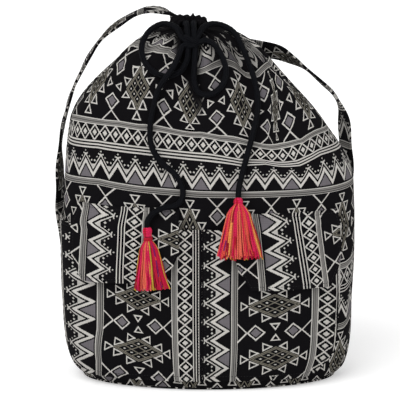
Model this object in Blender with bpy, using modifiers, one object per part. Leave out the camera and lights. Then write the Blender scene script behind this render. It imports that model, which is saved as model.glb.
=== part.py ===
"""A drawstring bucket backpack of woven cotton, standing upright on its oval base.

The front faces -Y, +X is to the viewer's right and +Z is up. The origin is the middle of the base's
underside. The body is one smooth surface, body_point(), and every pocket, flap and strap end is laid on it.
"""

import math

import bmesh
import bpy
import numpy as np
from mathutils import Matrix, Vector

COLLECTION = "drawstring_backpack"

# Plain colours: cord and hem, printed cloth, and the tassels' head, binding and skirt
BLACK = (0.012, 0.011, 0.013)
WEAVE = (0.12, 0.115, 0.11)
YARN = ((0.70, 0.02, 0.16), (0.78, 0.04, 0.22), (0.66, 0.05, 0.06))

# Driving sizes of the body, in metres
BODY_HEIGHT = 0.404
BODY_WIDTH = 0.328
BODY_DEPTH = 0.176
CLOTH = 0.0015
BASE_THICKNESS = 0.0025
SEAM_GAP = 0.0003

# The gathered mouth sits this far left of the base's middle, and its neck has this radius
MOUTH_SHIFT = -0.0225
NECK_RADIUS = 0.0195

# Folds run down from the mouth: deep ones, and finer pleats close to it
FOLD_DEPTH = 0.015
FOLD_WIDTH_DEG = 12.0
FOLD_DROOP = 0.016
PLEAT_DEPTH = 0.0016
PLEATS = 14

# Drawstring cord and the folded hem that holds it
CORD_DIAMETER = 0.006
CORD_CLEARANCE = 0.0007
CASING_HEIGHT = 0.010
CASING_CLOTH = 0.0012
CASING_SLOT_DEG = 66.0
CASING_STEPS = 48
CASING_SWELL = 0.0006
CASING_SHOULDER = 0.0040
CASING_SHOULDER_DROP = 0.0008

# Patch pockets, measured along the body's girth from the front's middle line
POCKET_BOTTOM = 0.010
POCKET_HEIGHT = 0.175
POCKET_SEAM = -0.008
POCKET_LEFT_WIDTH = 0.189
POCKET_RIGHT_WIDTH = 0.162
POCKET_CORNER = 0.034
POCKET_FULLNESS = 0.010
POCKET_SEAT = 0.0012

# Flaps, also along the girth, with cut lower corners
FLAP_HEIGHT = 0.084
FLAP_WIDTH = 0.120
FLAP_CUT = 0.018
FLAP_CUT_HEIGHT = 0.036
FLAP_CLEARANCE = 0.0016
FLAP_FLARE = 0.003
LEFT_FLAP_MIDDLE = -0.0935
LEFT_FLAP_TOP = 0.209
RIGHT_FLAP_MIDDLE = 0.0885
RIGHT_FLAP_TOP = 0.202

# Shoulder straps
STRAP_WIDTH = 0.028
STRAP_THICKNESS = 0.003
SEAT_GAP = 0.0004

# Tassels: a round head of wrapped yarn, a bound neck and a flared skirt, flat from front to back
TASSEL_HEAD = 0.0135
TASSEL_NECK = 0.0094
TASSEL_BINDING = 0.0045
TASSEL_SKIRT = 0.056
TASSEL_HEM_WIDTH = 0.042
TASSEL_HEM_DEPTH = 0.014
TASSEL_FLUTES = 12
TASSEL_FLUTE_DEPTH = 0.0009
TASSEL_CROWN = 0.0026
TASSEL_HEAD_DEGREES = (48, 20, -8, -32)
BINDING_BULGE = 0.0005
BINDING_ROUND = 0.001
SKIRT_ROWS = (0.0, 0.06, 0.18, 0.38, 0.68, 1.0)
YARN_GAP = 0.0003

# Mesh fineness of the cloth pieces
PANEL_COLUMNS = 28
POCKET_COLUMNS = 14
POCKET_ROWS = (0.0, 0.035, 0.08, 0.14, 0.23, 0.37, 0.55, 0.77, 1.0)
FLAP_COLUMNS = 8
STRAP_STEPS = 34

# Body profile: shares of the height, half width, half depth and mouth shift, and the section's squareness.
# From this share of the height up, the rows close onto the neck's own radius
CLOSING_SHARE = 0.978
PROFILE = (
    (0.000, 0.870, 0.910, 0.00, 2.00),
    (0.022, 0.925, 0.960, 0.00, 2.10),
    (0.045, 0.950, 0.985, 0.00, 2.20),
    (0.100, 0.975, 1.000, 0.00, 2.40),
    (0.210, 0.990, 1.000, 0.00, 2.55),
    (0.350, 1.000, 0.995, 0.00, 2.60),
    (0.500, 1.000, 0.975, 0.00, 2.60),
    (0.560, 0.994, 0.958, 0.00, 2.55),
    (0.614, 0.973, 0.935, 0.13, 2.50),
    (0.656, 0.938, 0.905, 0.32, 2.45),
    (0.700, 0.896, 0.872, 0.53, 2.40),
    (0.745, 0.851, 0.836, 0.71, 2.35),
    (0.787, 0.783, 0.797, 0.82, 2.30),
    (0.832, 0.693, 0.740, 0.86, 2.25),
    (0.874, 0.603, 0.675, 0.84, 2.20),
    (0.908, 0.533, 0.605, 0.81, 2.15),
    (0.936, 0.454, 0.530, 0.80, 2.10),
    (0.960, 0.360, 0.445, 0.82, 2.05),
    (0.976, 0.288, 0.370, 0.86, 2.00),
    (0.990, 0.225, 0.305, 0.93, 2.00),
    (1.000, 0.180, 0.260, 1.00, 2.00),
)

# Deep folds: direction at the mouth and at the foot in degrees from the front's middle, depth share, and
# the share of the height where the fold's foot is
FOLDS = (
    (3.0, 0.0, 0.95, 0.80),
    (49.0, 30.0, 1.00, 0.71),
    (93.0, 82.0, 0.70, 0.80),
    (132.0, 125.0, 0.80, 0.76),
    (222.0, 235.0, 0.85, 0.78),
    (262.0, 272.0, 0.50, 0.82),
    (-48.0, -40.0, 0.35, 0.86),
)

# Where the straps' ends are sewn on: degrees from the front's middle line, height, and lift off the body
LEFT_TOP_END = ((-172.0, 0.316, 0.0), (-171.0, 0.336, 0.0), (-170.0, 0.352, 0.002))
LEFT_LOW_END = (
    (-127.0, 0.104, 0.013),
    (-129.0, 0.076, 0.004),
    (-130.0, 0.052, 0.0),
    (-131.0, 0.030, 0.0),
)
RIGHT_TOP_END = ((178.0, 0.358, 0.0), (166.0, 0.358, 0.0), (154.0, 0.358, 0.004))
RIGHT_LOW_END = ((127.0, 0.104, 0.013), (129.0, 0.076, 0.004), (130.0, 0.052, 0.0), (131.0, 0.030, 0.0))

# Each strap's route between its ends: shares of the height, half width and half depth, and the way it faces
LEFT_STRAP = (
    (0.925, -0.190, 0.72, (0.93, -0.36, 0.00)),
    (0.965, -0.202, 0.71, (0.72, -0.69, 0.00)),
    (0.996, -0.245, 0.69, (0.38, -0.92, 0.00)),
    (1.010, -0.330, 0.68, (0.14, -0.99, 0.00)),
    (1.010, -0.440, 0.68, (0.04, -1.00, 0.00)),
    (0.988, -0.565, 0.68, (-0.02, -1.00, 0.00)),
    (0.932, -0.735, 0.70, (-0.02, -1.00, 0.00)),
    (0.850, -0.865, 0.70, (-0.06, -1.00, 0.00)),
    (0.760, -0.945, 0.68, (-0.14, -0.99, 0.00)),
    (0.660, -0.995, 0.65, (-0.26, -0.96, 0.00)),
    (0.560, -1.018, 0.62, (-0.40, -0.92, 0.00)),
    (0.470, -1.016, 0.63, (-0.50, -0.86, 0.00)),
    (0.370, -0.985, 0.68, (-0.60, -0.80, 0.00)),
)
RIGHT_STRAP = (
    (0.899, 0.310, 0.72, (0.08, -0.56, 0.82)),
    (0.888, 0.460, 0.73, (0.12, -0.70, 0.70)),
    (0.868, 0.565, 0.73, (0.10, -0.87, 0.48)),
    (0.842, 0.665, 0.72, (0.03, -0.95, 0.30)),
    (0.808, 0.762, 0.71, (0.00, -0.97, 0.23)),
    (0.770, 0.858, 0.70, (0.08, -0.98, 0.18)),
    (0.732, 0.912, 0.69, (0.22, -0.96, 0.10)),
    (0.690, 0.935, 0.68, (0.40, -0.91, 0.02)),
    (0.625, 0.945, 0.67, (0.50, -0.87, 0.00)),
    (0.550, 0.950, 0.67, (0.52, -0.85, 0.00)),
    (0.470, 0.948, 0.68, (0.54, -0.84, 0.00)),
    (0.370, 0.925, 0.74, (0.60, -0.80, 0.00)),
)

# The cord between the casing and the knot: lean to the right, half spacing, step forward and step down
CORD_EXITS = ((0.0008, 0.0042, -0.0020, 0.0005), (0.0016, 0.0037, 0.0060, 0.0035))
CORD_AT_KNOT = (0.0020, 0.0035, 0.0042, 0.0024)
CHANNEL_STEPS = 16
CHANNEL_POINTS = 27

# The bow's knot. Each tassel: its head's place, the way its neck hangs, and the way its hem hangs
KNOT = (-0.0205, -0.0400, 0.3925)
KNOT_SIZE = (0.017, 0.013, 0.015)
KNOT_GROOVE = 0.05
LEFT_TASSEL = ((-0.0692, -0.1050, 0.1900), (0.075, -0.090, -0.990), (0.075, -0.090, -0.990))
RIGHT_TASSEL = ((0.0329, -0.0965, 0.2218), (0.030, -0.375, -0.926), (0.030, -0.170, -0.985))

# Routes of the free cord, in metres, chosen along the front of the bag
BOW_LOOP_LEFT = (
    (-0.0295, -0.0395, 0.3975),
    (-0.0370, -0.0280, 0.4070),
    (-0.0520, -0.0130, 0.4080),
    (-0.0675, -0.0210, 0.4010),
    (-0.0757, -0.0358, 0.3872),
    (-0.0725, -0.0500, 0.3725),
    (-0.0620, -0.0580, 0.3625),
    (-0.0475, -0.0605, 0.3580),
    (-0.0325, -0.0560, 0.3625),
    (-0.0250, -0.0500, 0.3740),
    (-0.0235, -0.0440, 0.3840),
)
BOW_LOOP_RIGHT = (
    (-0.0114, -0.0415, 0.3930),
    (-0.0030, -0.0400, 0.3945),
    (0.0070, -0.0430, 0.3890),
    (0.0150, -0.0500, 0.3770),
    (0.0190, -0.0570, 0.3620),
    (0.0140, -0.0635, 0.3475),
    (0.0020, -0.0655, 0.3385),
    (-0.0110, -0.0635, 0.3395),
    (-0.0165, -0.0580, 0.3510),
    (-0.0165, -0.0500, 0.3690),
    (-0.0155, -0.0440, 0.3840),
)
CORD_TAIL_LEFT = (
    (-0.0302, -0.0440, 0.3880),
    (-0.0350, -0.0540, 0.3778),
    (-0.0420, -0.0645, 0.3670),
    (-0.0500, -0.0685, 0.3560),
    (-0.0570, -0.0675, 0.3440),
    (-0.0617, -0.0705, 0.3280),
    (-0.0662, -0.0758, 0.3030),
    (-0.0642, -0.0797, 0.2805),
    (-0.0530, -0.0834, 0.2640),
    (-0.0370, -0.0864, 0.2495),
    (-0.0300, -0.0880, 0.2355),
    (-0.0307, -0.0890, 0.2225),
    (-0.0390, -0.0905, 0.2155),
    (-0.0520, -0.0920, 0.2135),
    (-0.0625, -0.0960, 0.2085),
    (-0.0676, -0.1012, 0.2036),
    (-0.0694, -0.1040, 0.1990),
)
CORD_TAIL_RIGHT = (
    (-0.0125, -0.0370, 0.3990),
    (-0.0070, -0.0260, 0.4065),
    (0.0010, -0.0170, 0.4085),
    (0.0090, -0.0120, 0.4075),
    (0.0170, -0.0110, 0.4050),
    (0.0248, -0.0135, 0.4010),
    (0.0310, -0.0195, 0.3955),
    (0.0362, -0.0280, 0.3865),
    (0.0445, -0.0365, 0.3685),
    (0.0520, -0.0450, 0.3460),
    (0.0550, -0.0560, 0.3230),
    (0.0505, -0.0705, 0.3000),
    (0.0430, -0.0820, 0.2730),
    (0.0360, -0.0872, 0.2470),
    (0.0335, -0.0900, 0.2365),
    (0.0328, -0.0938, 0.2287),
)


def glide(value, low, high):
    """Smooth step from 0 at low to 1 at high."""
    share = np.clip((value - low) / (high - low), 0.0, 1.0)
    return share * share * (3.0 - 2.0 * share)


def along(place, table):
    """Read the columns of a table of stations at a place, on a smooth curve that never overshoots."""
    stations = np.array(table, float)
    places = stations[:, 0]
    gaps = np.diff(places)
    rises = np.diff(stations[:, 1:], axis=0) / gaps[:, None]
    slopes = np.vstack([rises[:1], (rises[:-1] + rises[1:]) / 2, rises[-1:]])
    slopes[1:-1][rises[:-1] * rises[1:] <= 0] = 0.0
    at = float(np.clip(place, places[0], places[-1]))
    k = int(min(np.searchsorted(places, at, side="right") - 1, len(gaps) - 1))
    t = (at - places[k]) / gaps[k]
    start = stations[k, 1:]
    end = stations[k + 1, 1:]
    bend = slopes[k] * (t - 2 * t**2 + t**3) + slopes[k + 1] * (t**3 - t**2)
    return start * (1 - 3 * t**2 + 2 * t**3) + end * (3 * t**2 - 2 * t**3) + bend * gaps[k]


def fold_masks(turn, share):
    """How deep in the folds a place lies: the share of the fold depth, and of the droop."""
    deep = 0.0
    droop = 0.0
    closing = 1.0 - glide(share, 0.950, 1.0)
    for top_deg, foot_deg, strength, foot in FOLDS:
        middle = foot_deg + (top_deg - foot_deg) * glide(share, foot - 0.03, 0.97)
        away = (math.degrees(turn) - middle + 180.0) % 360.0 - 180.0
        wide = FOLD_WIDTH_DEG * (1.25 - 0.35 * glide(share, foot, 1.0))
        valley = strength * math.exp(-((away / wide) ** 2))
        deep += valley * glide(share, foot - 0.04, foot + 0.14)
        droop += valley * glide(share, foot - 0.16, foot + 0.02) * closing
    return deep * (0.12 + 0.88 * closing), droop


def body_point(turn, height, out=0.0):
    """A place on the body, at an angle from the front's middle line and a height above the base panel."""
    share = height / BODY_HEIGHT
    deep, droop = fold_masks(turn, share)
    actual = share - droop * FOLD_DROOP / BODY_HEIGHT
    width, depth, lean, square = along(actual, PROFILE)
    closing = glide(share, CLOSING_SHARE, 1.0)
    half_width = width * BODY_WIDTH / 2 * (1 - closing) + NECK_RADIUS * closing
    half_depth = depth * BODY_DEPTH / 2 * (1 - closing) + NECK_RADIUS * closing
    across = math.sin(turn)
    fore = math.cos(turn)
    swell = (abs(across) ** square + abs(fore) ** square) ** (-1.0 / square)
    pleat = PLEAT_DEPTH * glide(share, 0.86, 0.97) * math.cos(PLEATS * turn)
    inward = FOLD_DEPTH * deep + pleat
    x = half_width * across * swell
    y = -half_depth * fore * swell
    reach = 1.0 - inward / math.hypot(x, y)
    z = BASE_THICKNESS + SEAM_GAP + actual * BODY_HEIGHT
    point = np.array([lean * MOUTH_SHIFT + x * reach, y * reach, z])
    if out:
        point += body_normal(turn, height) * out
    return point


def body_normal(turn, height):
    """The body's outward direction at a place on it."""
    low = max(height - 0.0005, 0.0)
    step = 0.004
    around = body_point(turn + step, height) - body_point(turn - step, height)
    up = body_point(turn, low + 0.001) - body_point(turn, low)
    normal = np.cross(around, up)
    return normal / np.linalg.norm(normal)


def girth_table():
    """Angles and the girth walked from the front's middle line to each, at mid height."""
    turns = np.linspace(-math.pi, math.pi, 721)
    points = np.array([body_point(t, 0.3 * BODY_HEIGHT) for t in turns])
    walked = np.concatenate([[0.0], np.cumsum(np.linalg.norm(np.diff(points, axis=0), axis=1))])
    return turns, walked - np.interp(0.0, turns, walked)


TURNS, GIRTHS = girth_table()


def turn_at(girth):
    """The angle from the front's middle line at a length of cloth along the girth."""
    return float(np.interp(girth, GIRTHS, TURNS))


def material(name, colour, roughness):
    """A plain Principled material for one piece."""
    made = bpy.data.materials.new(name)
    made.use_nodes = True
    shader = made.node_tree.nodes["Principled BSDF"]
    shader.inputs["Base Color"].default_value = (*colour, 1.0)
    shader.inputs["Roughness"].default_value = roughness
    shader.inputs["Metallic"].default_value = 0.0
    return made


def add_object(name, data, colour, roughness=0.85):
    """Put a mesh or curve into the backpack's collection with its own material."""
    made = bpy.data.objects.new(name, data)
    data.materials.append(material(name + "_material", colour, roughness))
    bpy.data.collections[COLLECTION].objects.link(made)
    return made


def cloth_shell(name, outer, inner, colour, closed=False):
    """A closed shell between two grids of points, rows by columns, joined around their rims."""
    rows, columns = outer.shape[:2]
    points = np.concatenate([outer.reshape(-1, 3), inner.reshape(-1, 3)])
    back = rows * columns
    faces = []
    span = columns if closed else columns - 1
    for r in range(rows - 1):
        for c in range(span):
            a = r * columns + c
            b = r * columns + (c + 1) % columns
            faces.append((a, b, b + columns, a + columns))
            faces.append((a + back, a + columns + back, b + columns + back, b + back))
    for c in range(span):
        b = (c + 1) % columns
        last = (rows - 1) * columns
        faces.append((c, c + back, b + back, b))
        faces.append((last + c, last + b, last + b + back, last + c + back))
    if not closed:
        for r in range(rows - 1):
            a = r * columns
            e = a + columns - 1
            faces.append((a, a + columns, a + columns + back, a + back))
            faces.append((e, e + back, e + columns + back, e + columns))
    mesh = bpy.data.meshes.new(name)
    mesh.from_pydata([tuple(p) for p in points], [], faces)
    shape = bmesh.new()
    shape.from_mesh(mesh)
    bmesh.ops.recalc_face_normals(shape, faces=shape.faces)
    shape.to_mesh(mesh)
    shape.free()
    mesh.shade_smooth()
    mesh.set_sharp_from_angle(angle=math.radians(50))
    return add_object(name, mesh, colour)


def panel_rows():
    """Heights of the body panels' rows, closer together where the body turns in."""
    shares = (0.0, 0.015, 0.035, 0.07, 0.13, 0.25, 0.40, 0.52, 0.585, 0.64, 0.69)
    upper = (0.74, 0.785, 0.825, 0.865, 0.90, 0.93, 0.955, 0.975, 0.988, 1.0)
    return [s * BODY_HEIGHT for s in shares + upper]


def build_body_panel(name, middle, colour):
    """Half of the body, from side seam to side seam around a middle direction."""
    outer = []
    inner = []
    for height in panel_rows():
        outer_row = []
        inner_row = []
        for c in range(PANEL_COLUMNS + 1):
            turn = middle + math.pi * (c / PANEL_COLUMNS - 0.5)
            point = body_point(turn, height)
            normal = body_normal(turn, height)
            if c in (0, PANEL_COLUMNS):
                # Both faces of a side seam lie in one plane, half the gap from the other panel
                normal[1] = 0.0
                normal /= np.linalg.norm(normal)
                point[1] = -math.cos(middle) * SEAM_GAP / 2
            if height in (0.0, BODY_HEIGHT):
                normal[2] = 0.0
                normal /= np.linalg.norm(normal)
            outer_row.append(point)
            inner_row.append(point - normal * CLOTH)
        outer.append(outer_row)
        inner.append(inner_row)
    return cloth_shell(name, np.array(outer), np.array(inner), colour)


def build_base_panel(colour):
    """The oval base that the body's lower edge is sewn to."""
    shape = bmesh.new()
    count = 48
    corners = []
    for k in range(count):
        point = body_point(2 * math.pi * k / count, 0.0)
        corners.append(shape.verts.new((point[0], point[1], 0.0)))
    face = shape.faces.new(corners)
    face.normal_update()
    raised = bmesh.ops.extrude_face_region(shape, geom=[face])
    lifted = [e for e in raised["geom"] if isinstance(e, bmesh.types.BMVert)]
    bmesh.ops.translate(shape, verts=lifted, vec=(0.0, 0.0, BASE_THICKNESS))
    bmesh.ops.recalc_face_normals(shape, faces=shape.faces)
    mesh = bpy.data.meshes.new("base_panel")
    shape.to_mesh(mesh)
    shape.free()
    return add_object("base_panel", mesh, colour)


def casing_section(turn):
    """The folded hem's section at one angle: an upside-down U around the cord, outer foot to inner foot."""
    foot = body_point(turn, BODY_HEIGHT)
    middle = np.array([MOUTH_SHIFT, 0.0, 0.0])
    away = np.array([foot[0] - middle[0], foot[1], 0.0])
    radius = np.linalg.norm(away)
    away /= radius
    low = foot[2] + SEAM_GAP
    ring = ring_radius()
    inner_face = ring - CORD_DIAMETER / 2 - CORD_CLEARANCE
    hole = inner_face - CASING_CLOTH
    top = low + CASING_HEIGHT
    roof = top - CASING_CLOTH
    profile = (
        (radius, low),
        (radius + CASING_SWELL, low + CASING_HEIGHT * 0.55),
        (radius - CASING_SHOULDER * 0.4, top - CASING_SHOULDER_DROP),
        (radius - CASING_SHOULDER, top),
        (hole, top - CASING_SHOULDER_DROP / 2),
        (hole, low),
        (inner_face, low),
        (inner_face, roof),
        (radius - CASING_SHOULDER * 0.8, roof),
        (radius - CASING_CLOTH, low),
    )
    return [middle + away * r + np.array([0.0, 0.0, z]) for r, z in profile]


def ring_radius():
    """Radius of the cord's run inside the casing, clear of the casing's deepest pleat."""
    return NECK_RADIUS - PLEAT_DEPTH - FOLD_DEPTH * 0.12 - CASING_CLOTH - CORD_DIAMETER / 2 - CORD_CLEARANCE


def build_casing(colour):
    """The hem around the gathered mouth, open at the front where the cord comes out."""
    half_slot = math.radians(CASING_SLOT_DEG / 2)
    around = 2 * math.pi - 2 * half_slot
    turns = [half_slot + around * k / CASING_STEPS for k in range(CASING_STEPS + 1)]
    sections = [casing_section(t) for t in turns]
    corners = len(sections[0])
    points = [tuple(p) for section in sections for p in section]
    faces = []
    for k in range(CASING_STEPS):
        for c in range(corners):
            a = k * corners + c
            b = k * corners + (c + 1) % corners
            faces.append((a, b, b + corners, a + corners))
    faces.append(tuple(range(corners)))
    faces.append(tuple(CASING_STEPS * corners + c for c in reversed(range(corners))))
    mesh = bpy.data.meshes.new("mouth_casing")
    mesh.from_pydata(points, [], faces)
    shape = bmesh.new()
    shape.from_mesh(mesh)
    bmesh.ops.triangulate(shape, faces=[f for f in shape.faces if len(f.verts) > 4])
    bmesh.ops.recalc_face_normals(shape, faces=shape.faces)
    shape.to_mesh(mesh)
    shape.free()
    mesh.shade_smooth()
    mesh.set_sharp_from_angle(angle=math.radians(50))
    return add_object("mouth_casing", mesh, colour)


def pocket_span(side):
    """The girth places of a pocket's inner and outer edges."""
    if side < 0:
        return POCKET_SEAM - SEAM_GAP / 2, POCKET_SEAM - POCKET_LEFT_WIDTH
    return POCKET_SEAM + SEAM_GAP / 2, POCKET_SEAM + POCKET_RIGHT_WIDTH


def pocket_floor(side, girth):
    """Height of a pocket's lower edge, which rounds up into its outer corner."""
    inner, outer = pocket_span(side)
    into = POCKET_CORNER - abs(outer - girth)
    if into <= 0.0:
        return POCKET_BOTTOM
    return POCKET_BOTTOM + POCKET_CORNER - math.sqrt(max(POCKET_CORNER**2 - into**2, 0.0))


def pocket_lift(side, girth, height):
    """How far a pocket's inner face stands off the body."""
    inner, outer = pocket_span(side)
    share = np.clip((girth - inner) / (outer - inner), 0.0, 1.0)
    low = pocket_floor(side, girth)
    rise = np.clip((height - low) / (POCKET_BOTTOM + POCKET_HEIGHT - low), 0.0, 1.0)
    plateau = (4.0 * share * (1.0 - share)) ** 0.9
    return POCKET_SEAT + POCKET_FULLNESS * float(plateau) * (1.0 - (1.0 - float(rise)) ** 2.2)


def build_pocket(side, colour):
    """A patch pocket, sewn down at its sides and bottom and standing a little open at the top."""
    name = "front_pocket_left" if side < 0 else "front_pocket_right"
    inner_edge, outer_edge = pocket_span(side)
    outer = []
    inner = []
    for share in POCKET_ROWS:
        outer_row = []
        inner_row = []
        for c in range(POCKET_COLUMNS + 1):
            girth = inner_edge + (outer_edge - inner_edge) * (1.0 - (1.0 - c / POCKET_COLUMNS) ** 1.4)
            low = pocket_floor(side, girth)
            height = low + (POCKET_BOTTOM + POCKET_HEIGHT - low) * share
            lift = pocket_lift(side, girth, height)
            turn = turn_at(girth)
            inner_row.append(body_point(turn, height, lift))
            outer_row.append(body_point(turn, height, lift + CLOTH))
        outer.append(outer_row)
        inner.append(inner_row)
    return cloth_shell(name, np.array(outer), np.array(inner), colour)


def flap_lift(side, girth, height, top):
    """How far a flap's inner face stands off the body: sewn down along its top, over the pocket lower down."""
    mouth = POCKET_BOTTOM + POCKET_HEIGHT
    over = pocket_lift(side, girth, min(height, mouth)) + CLOTH + FLAP_CLEARANCE
    sewn = glide(height, mouth + 0.0015, top)
    hem = glide(top - FLAP_HEIGHT * 0.35 - height, 0.0, FLAP_HEIGHT * 0.65)
    return over * (1.0 - sewn) + SEAT_GAP * sewn + FLAP_FLARE * hem


def build_flap(side, colour):
    """A pocket flap with its two lower corners cut off at a slant."""
    name = "pocket_flap_left" if side < 0 else "pocket_flap_right"
    middle = LEFT_FLAP_MIDDLE if side < 0 else RIGHT_FLAP_MIDDLE
    top = LEFT_FLAP_TOP if side < 0 else RIGHT_FLAP_TOP
    mouth = POCKET_BOTTOM + POCKET_HEIGHT
    hem = top - FLAP_HEIGHT
    heights = list(np.linspace(hem, mouth + 0.001, 8)) + list(np.linspace(mouth + 0.001, top, 5))[1:]
    outer = []
    inner = []
    for height in heights:
        above = height - hem
        cut = FLAP_CUT * max(1.0 - above / FLAP_CUT_HEIGHT, 0.0) ** 1.25
        half = FLAP_WIDTH / 2 - cut
        outer_row = []
        inner_row = []
        for c in range(FLAP_COLUMNS + 1):
            girth = middle + half * (2.0 * c / FLAP_COLUMNS - 1.0)
            lift = flap_lift(side, girth, height, top)
            turn = turn_at(girth)
            inner_row.append(body_point(turn, height, lift))
            outer_row.append(body_point(turn, height, lift + CLOTH))
        outer.append(outer_row)
        inner.append(inner_row)
    return cloth_shell(name, np.array(outer), np.array(inner), colour)


def smooth_route(points, count):
    """Points evenly along a smooth curve through the route's own points."""
    route = np.array(points, float)
    ends = np.vstack([2 * route[0] - route[1], route, 2 * route[-1] - route[-2]])
    fine = []
    for k in range(len(route) - 1):
        before, start, end, after = ends[k : k + 4]
        for t in np.linspace(0.0, 1.0, 24, endpoint=False):
            fine.append(
                0.5
                * (
                    2 * start
                    + (end - before) * t
                    + (2 * before - 5 * start + 4 * end - after) * t**2
                    + (3 * start - before - 3 * end + after) * t**3
                )
            )
    fine.append(route[-1])
    fine = np.array(fine)
    walked = np.concatenate([[0.0], np.cumsum(np.linalg.norm(np.diff(fine[:, :3], axis=0), axis=1))])
    places = np.linspace(0.0, walked[-1], count)
    return np.array([[np.interp(p, walked, fine[:, k]) for k in range(fine.shape[1])] for p in places])


def seated_end(places, beside):
    """Route points that lay a strap's end flat on the body's back, its width turned as the route beside it."""
    seat = STRAP_THICKNESS / 2 + SEAT_GAP * 2
    spots = [(math.radians(turn_deg), height, seat + lift) for turn_deg, height, lift in places]
    points = [body_point(*spot) for spot in spots]
    rows = []
    for k, (point, spot) in enumerate(zip(points, spots)):
        heading = points[min(k + 1, len(points) - 1)] - points[max(k - 1, 0)]
        across = np.cross(body_normal(spot[0], spot[1]), heading)
        across *= math.copysign(1.0, np.dot(across, beside)) / np.linalg.norm(across)
        rows.append(np.concatenate([point, across]))
    return rows


def build_strap(name, top_end, route, low_end, colour):
    """A shoulder strap: a flat band whose two ends are sewn flat to the body's back."""
    rows = seated_end(top_end, route[0][3])
    for height, width, depth, across in route:
        place = (width * BODY_WIDTH / 2, depth * BODY_DEPTH / 2, height * BODY_HEIGHT)
        rows.append(np.concatenate([place, across]))
    rows += seated_end(low_end, route[-1][3])
    path = smooth_route(rows, STRAP_STEPS)
    outer = []
    inner = []
    for k, row in enumerate(path):
        before = path[max(k - 1, 0), :3]
        after = path[min(k + 1, len(path) - 1), :3]
        heading = (after - before) / np.linalg.norm(after - before)
        across = row[3:] - heading * np.dot(row[3:], heading)
        across /= np.linalg.norm(across)
        face = np.cross(across, heading)
        left = row[:3] - across * STRAP_WIDTH / 2
        right = row[:3] + across * STRAP_WIDTH / 2
        offset = face * STRAP_THICKNESS / 2
        outer.append([left + offset, row[:3] + offset, right + offset])
        inner.append([left - offset, row[:3] - offset, right - offset])
    return cloth_shell(name, np.array(outer), np.array(inner), colour)


def add_cord(name, points, colour):
    """A round cord along its points, as a curve with filled caps."""
    data = bpy.data.curves.new(name, "CURVE")
    data.dimensions = "3D"
    data.bevel_depth = CORD_DIAMETER / 2
    data.bevel_resolution = 2
    data.use_fill_caps = True
    spline = data.splines.new("POLY")
    spline.points.add(len(points) - 1)
    for spot, point in zip(spline.points, points):
        spot.co = (*point, 1.0)
    return add_object(name, data, colour)


def build_free_cord(name, route, colour):
    """A loop or a tail of the bow, with a point about every two diameters."""
    length = np.linalg.norm(np.diff(np.array(route), axis=0), axis=1).sum()
    return add_cord(name, smooth_route(route, round(length / (2 * CORD_DIAMETER)) + 2), colour)


def build_channel_run(colour):
    """The cord inside the casing: once around the gathered mouth, with both ends coming out to the knot."""
    radius = ring_radius()
    low = body_point(0.0, BODY_HEIGHT)[2] + SEAM_GAP
    level = low + (CASING_HEIGHT - CASING_CLOTH) / 2
    opening = math.radians(CASING_SLOT_DEG / 2 - 8.0)
    circle = []
    for k in range(CHANNEL_STEPS + 1):
        turn = opening + (2 * math.pi - 2 * opening) * k / CHANNEL_STEPS
        circle.append((MOUTH_SHIFT + radius * math.sin(turn), -radius * math.cos(turn), level))
    out = NECK_RADIUS + CORD_DIAMETER / 2
    ends = []
    for side in (1, -1):
        end = [
            (MOUTH_SHIFT + lean + side * half, -out - forward, level - down)
            for lean, half, forward, down in CORD_EXITS
        ]
        lean, half, behind, above = CORD_AT_KNOT
        knot_top = KNOT[2] + KNOT_SIZE[2] / 2
        end.append((MOUTH_SHIFT + lean + side * half, KNOT[1] + behind, knot_top + above))
        ends.append(end)
    points = list(reversed(ends[0])) + circle + ends[1]
    return add_cord("drawstring_channel_run", smooth_route(points, CHANNEL_POINTS), colour)


def build_knot(colour):
    """The bow's knot: a rounded lump with the cord's turns showing as slanting ridges."""
    bpy.ops.mesh.primitive_uv_sphere_add(segments=14, ring_count=8, radius=0.5, location=KNOT)
    knot = bpy.context.object
    knot.name = "drawstring_knot"
    for vertex in knot.data.vertices:
        place = vertex.co
        slant = math.atan2(place.y, place.x) + 2.4 * place.z
        place *= 1.0 - KNOT_GROOVE * (1.0 - math.cos(2.0 * slant))
        vertex.co = (place.x * KNOT_SIZE[0], place.y * KNOT_SIZE[1], place.z * KNOT_SIZE[2])
    knot.data.shade_smooth()
    knot.data.materials.append(material("drawstring_knot_material", colour, 0.85))
    for held in list(knot.users_collection):
        held.objects.unlink(knot)
    bpy.data.collections[COLLECTION].objects.link(knot)
    return knot


def turned(name, profile, place, hang, colour):
    """A turned piece from its profile, radius and height, top to bottom, hanging along a direction."""
    mesh = bpy.data.meshes.new(name)
    points = [(radius, 0.0, height) for radius, height in profile]
    mesh.from_pydata(points, [(k, k + 1) for k in range(len(points) - 1)], [])
    piece = add_object(name, mesh, colour)
    screw = piece.modifiers.new("turn", "SCREW")
    screw.steps = 12
    screw.render_steps = 12
    screw.use_merge_vertices = True
    screw.merge_threshold = 0.00001
    screw.use_smooth_shade = True
    piece.matrix_world = hanging_frame(hang, place)
    return piece


def hanging_frame(hang, place=(0.0, 0.0, 0.0)):
    """A frame whose Z points back up the way that a tassel hangs, with X across the bag."""
    up = -Vector(hang).normalized()
    across = (Vector((1.0, 0.0, 0.0)) - up * up.x).normalized()
    frame = Matrix((across, up.cross(across), up)).transposed().to_4x4()
    frame.translation = place
    return frame


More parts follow.
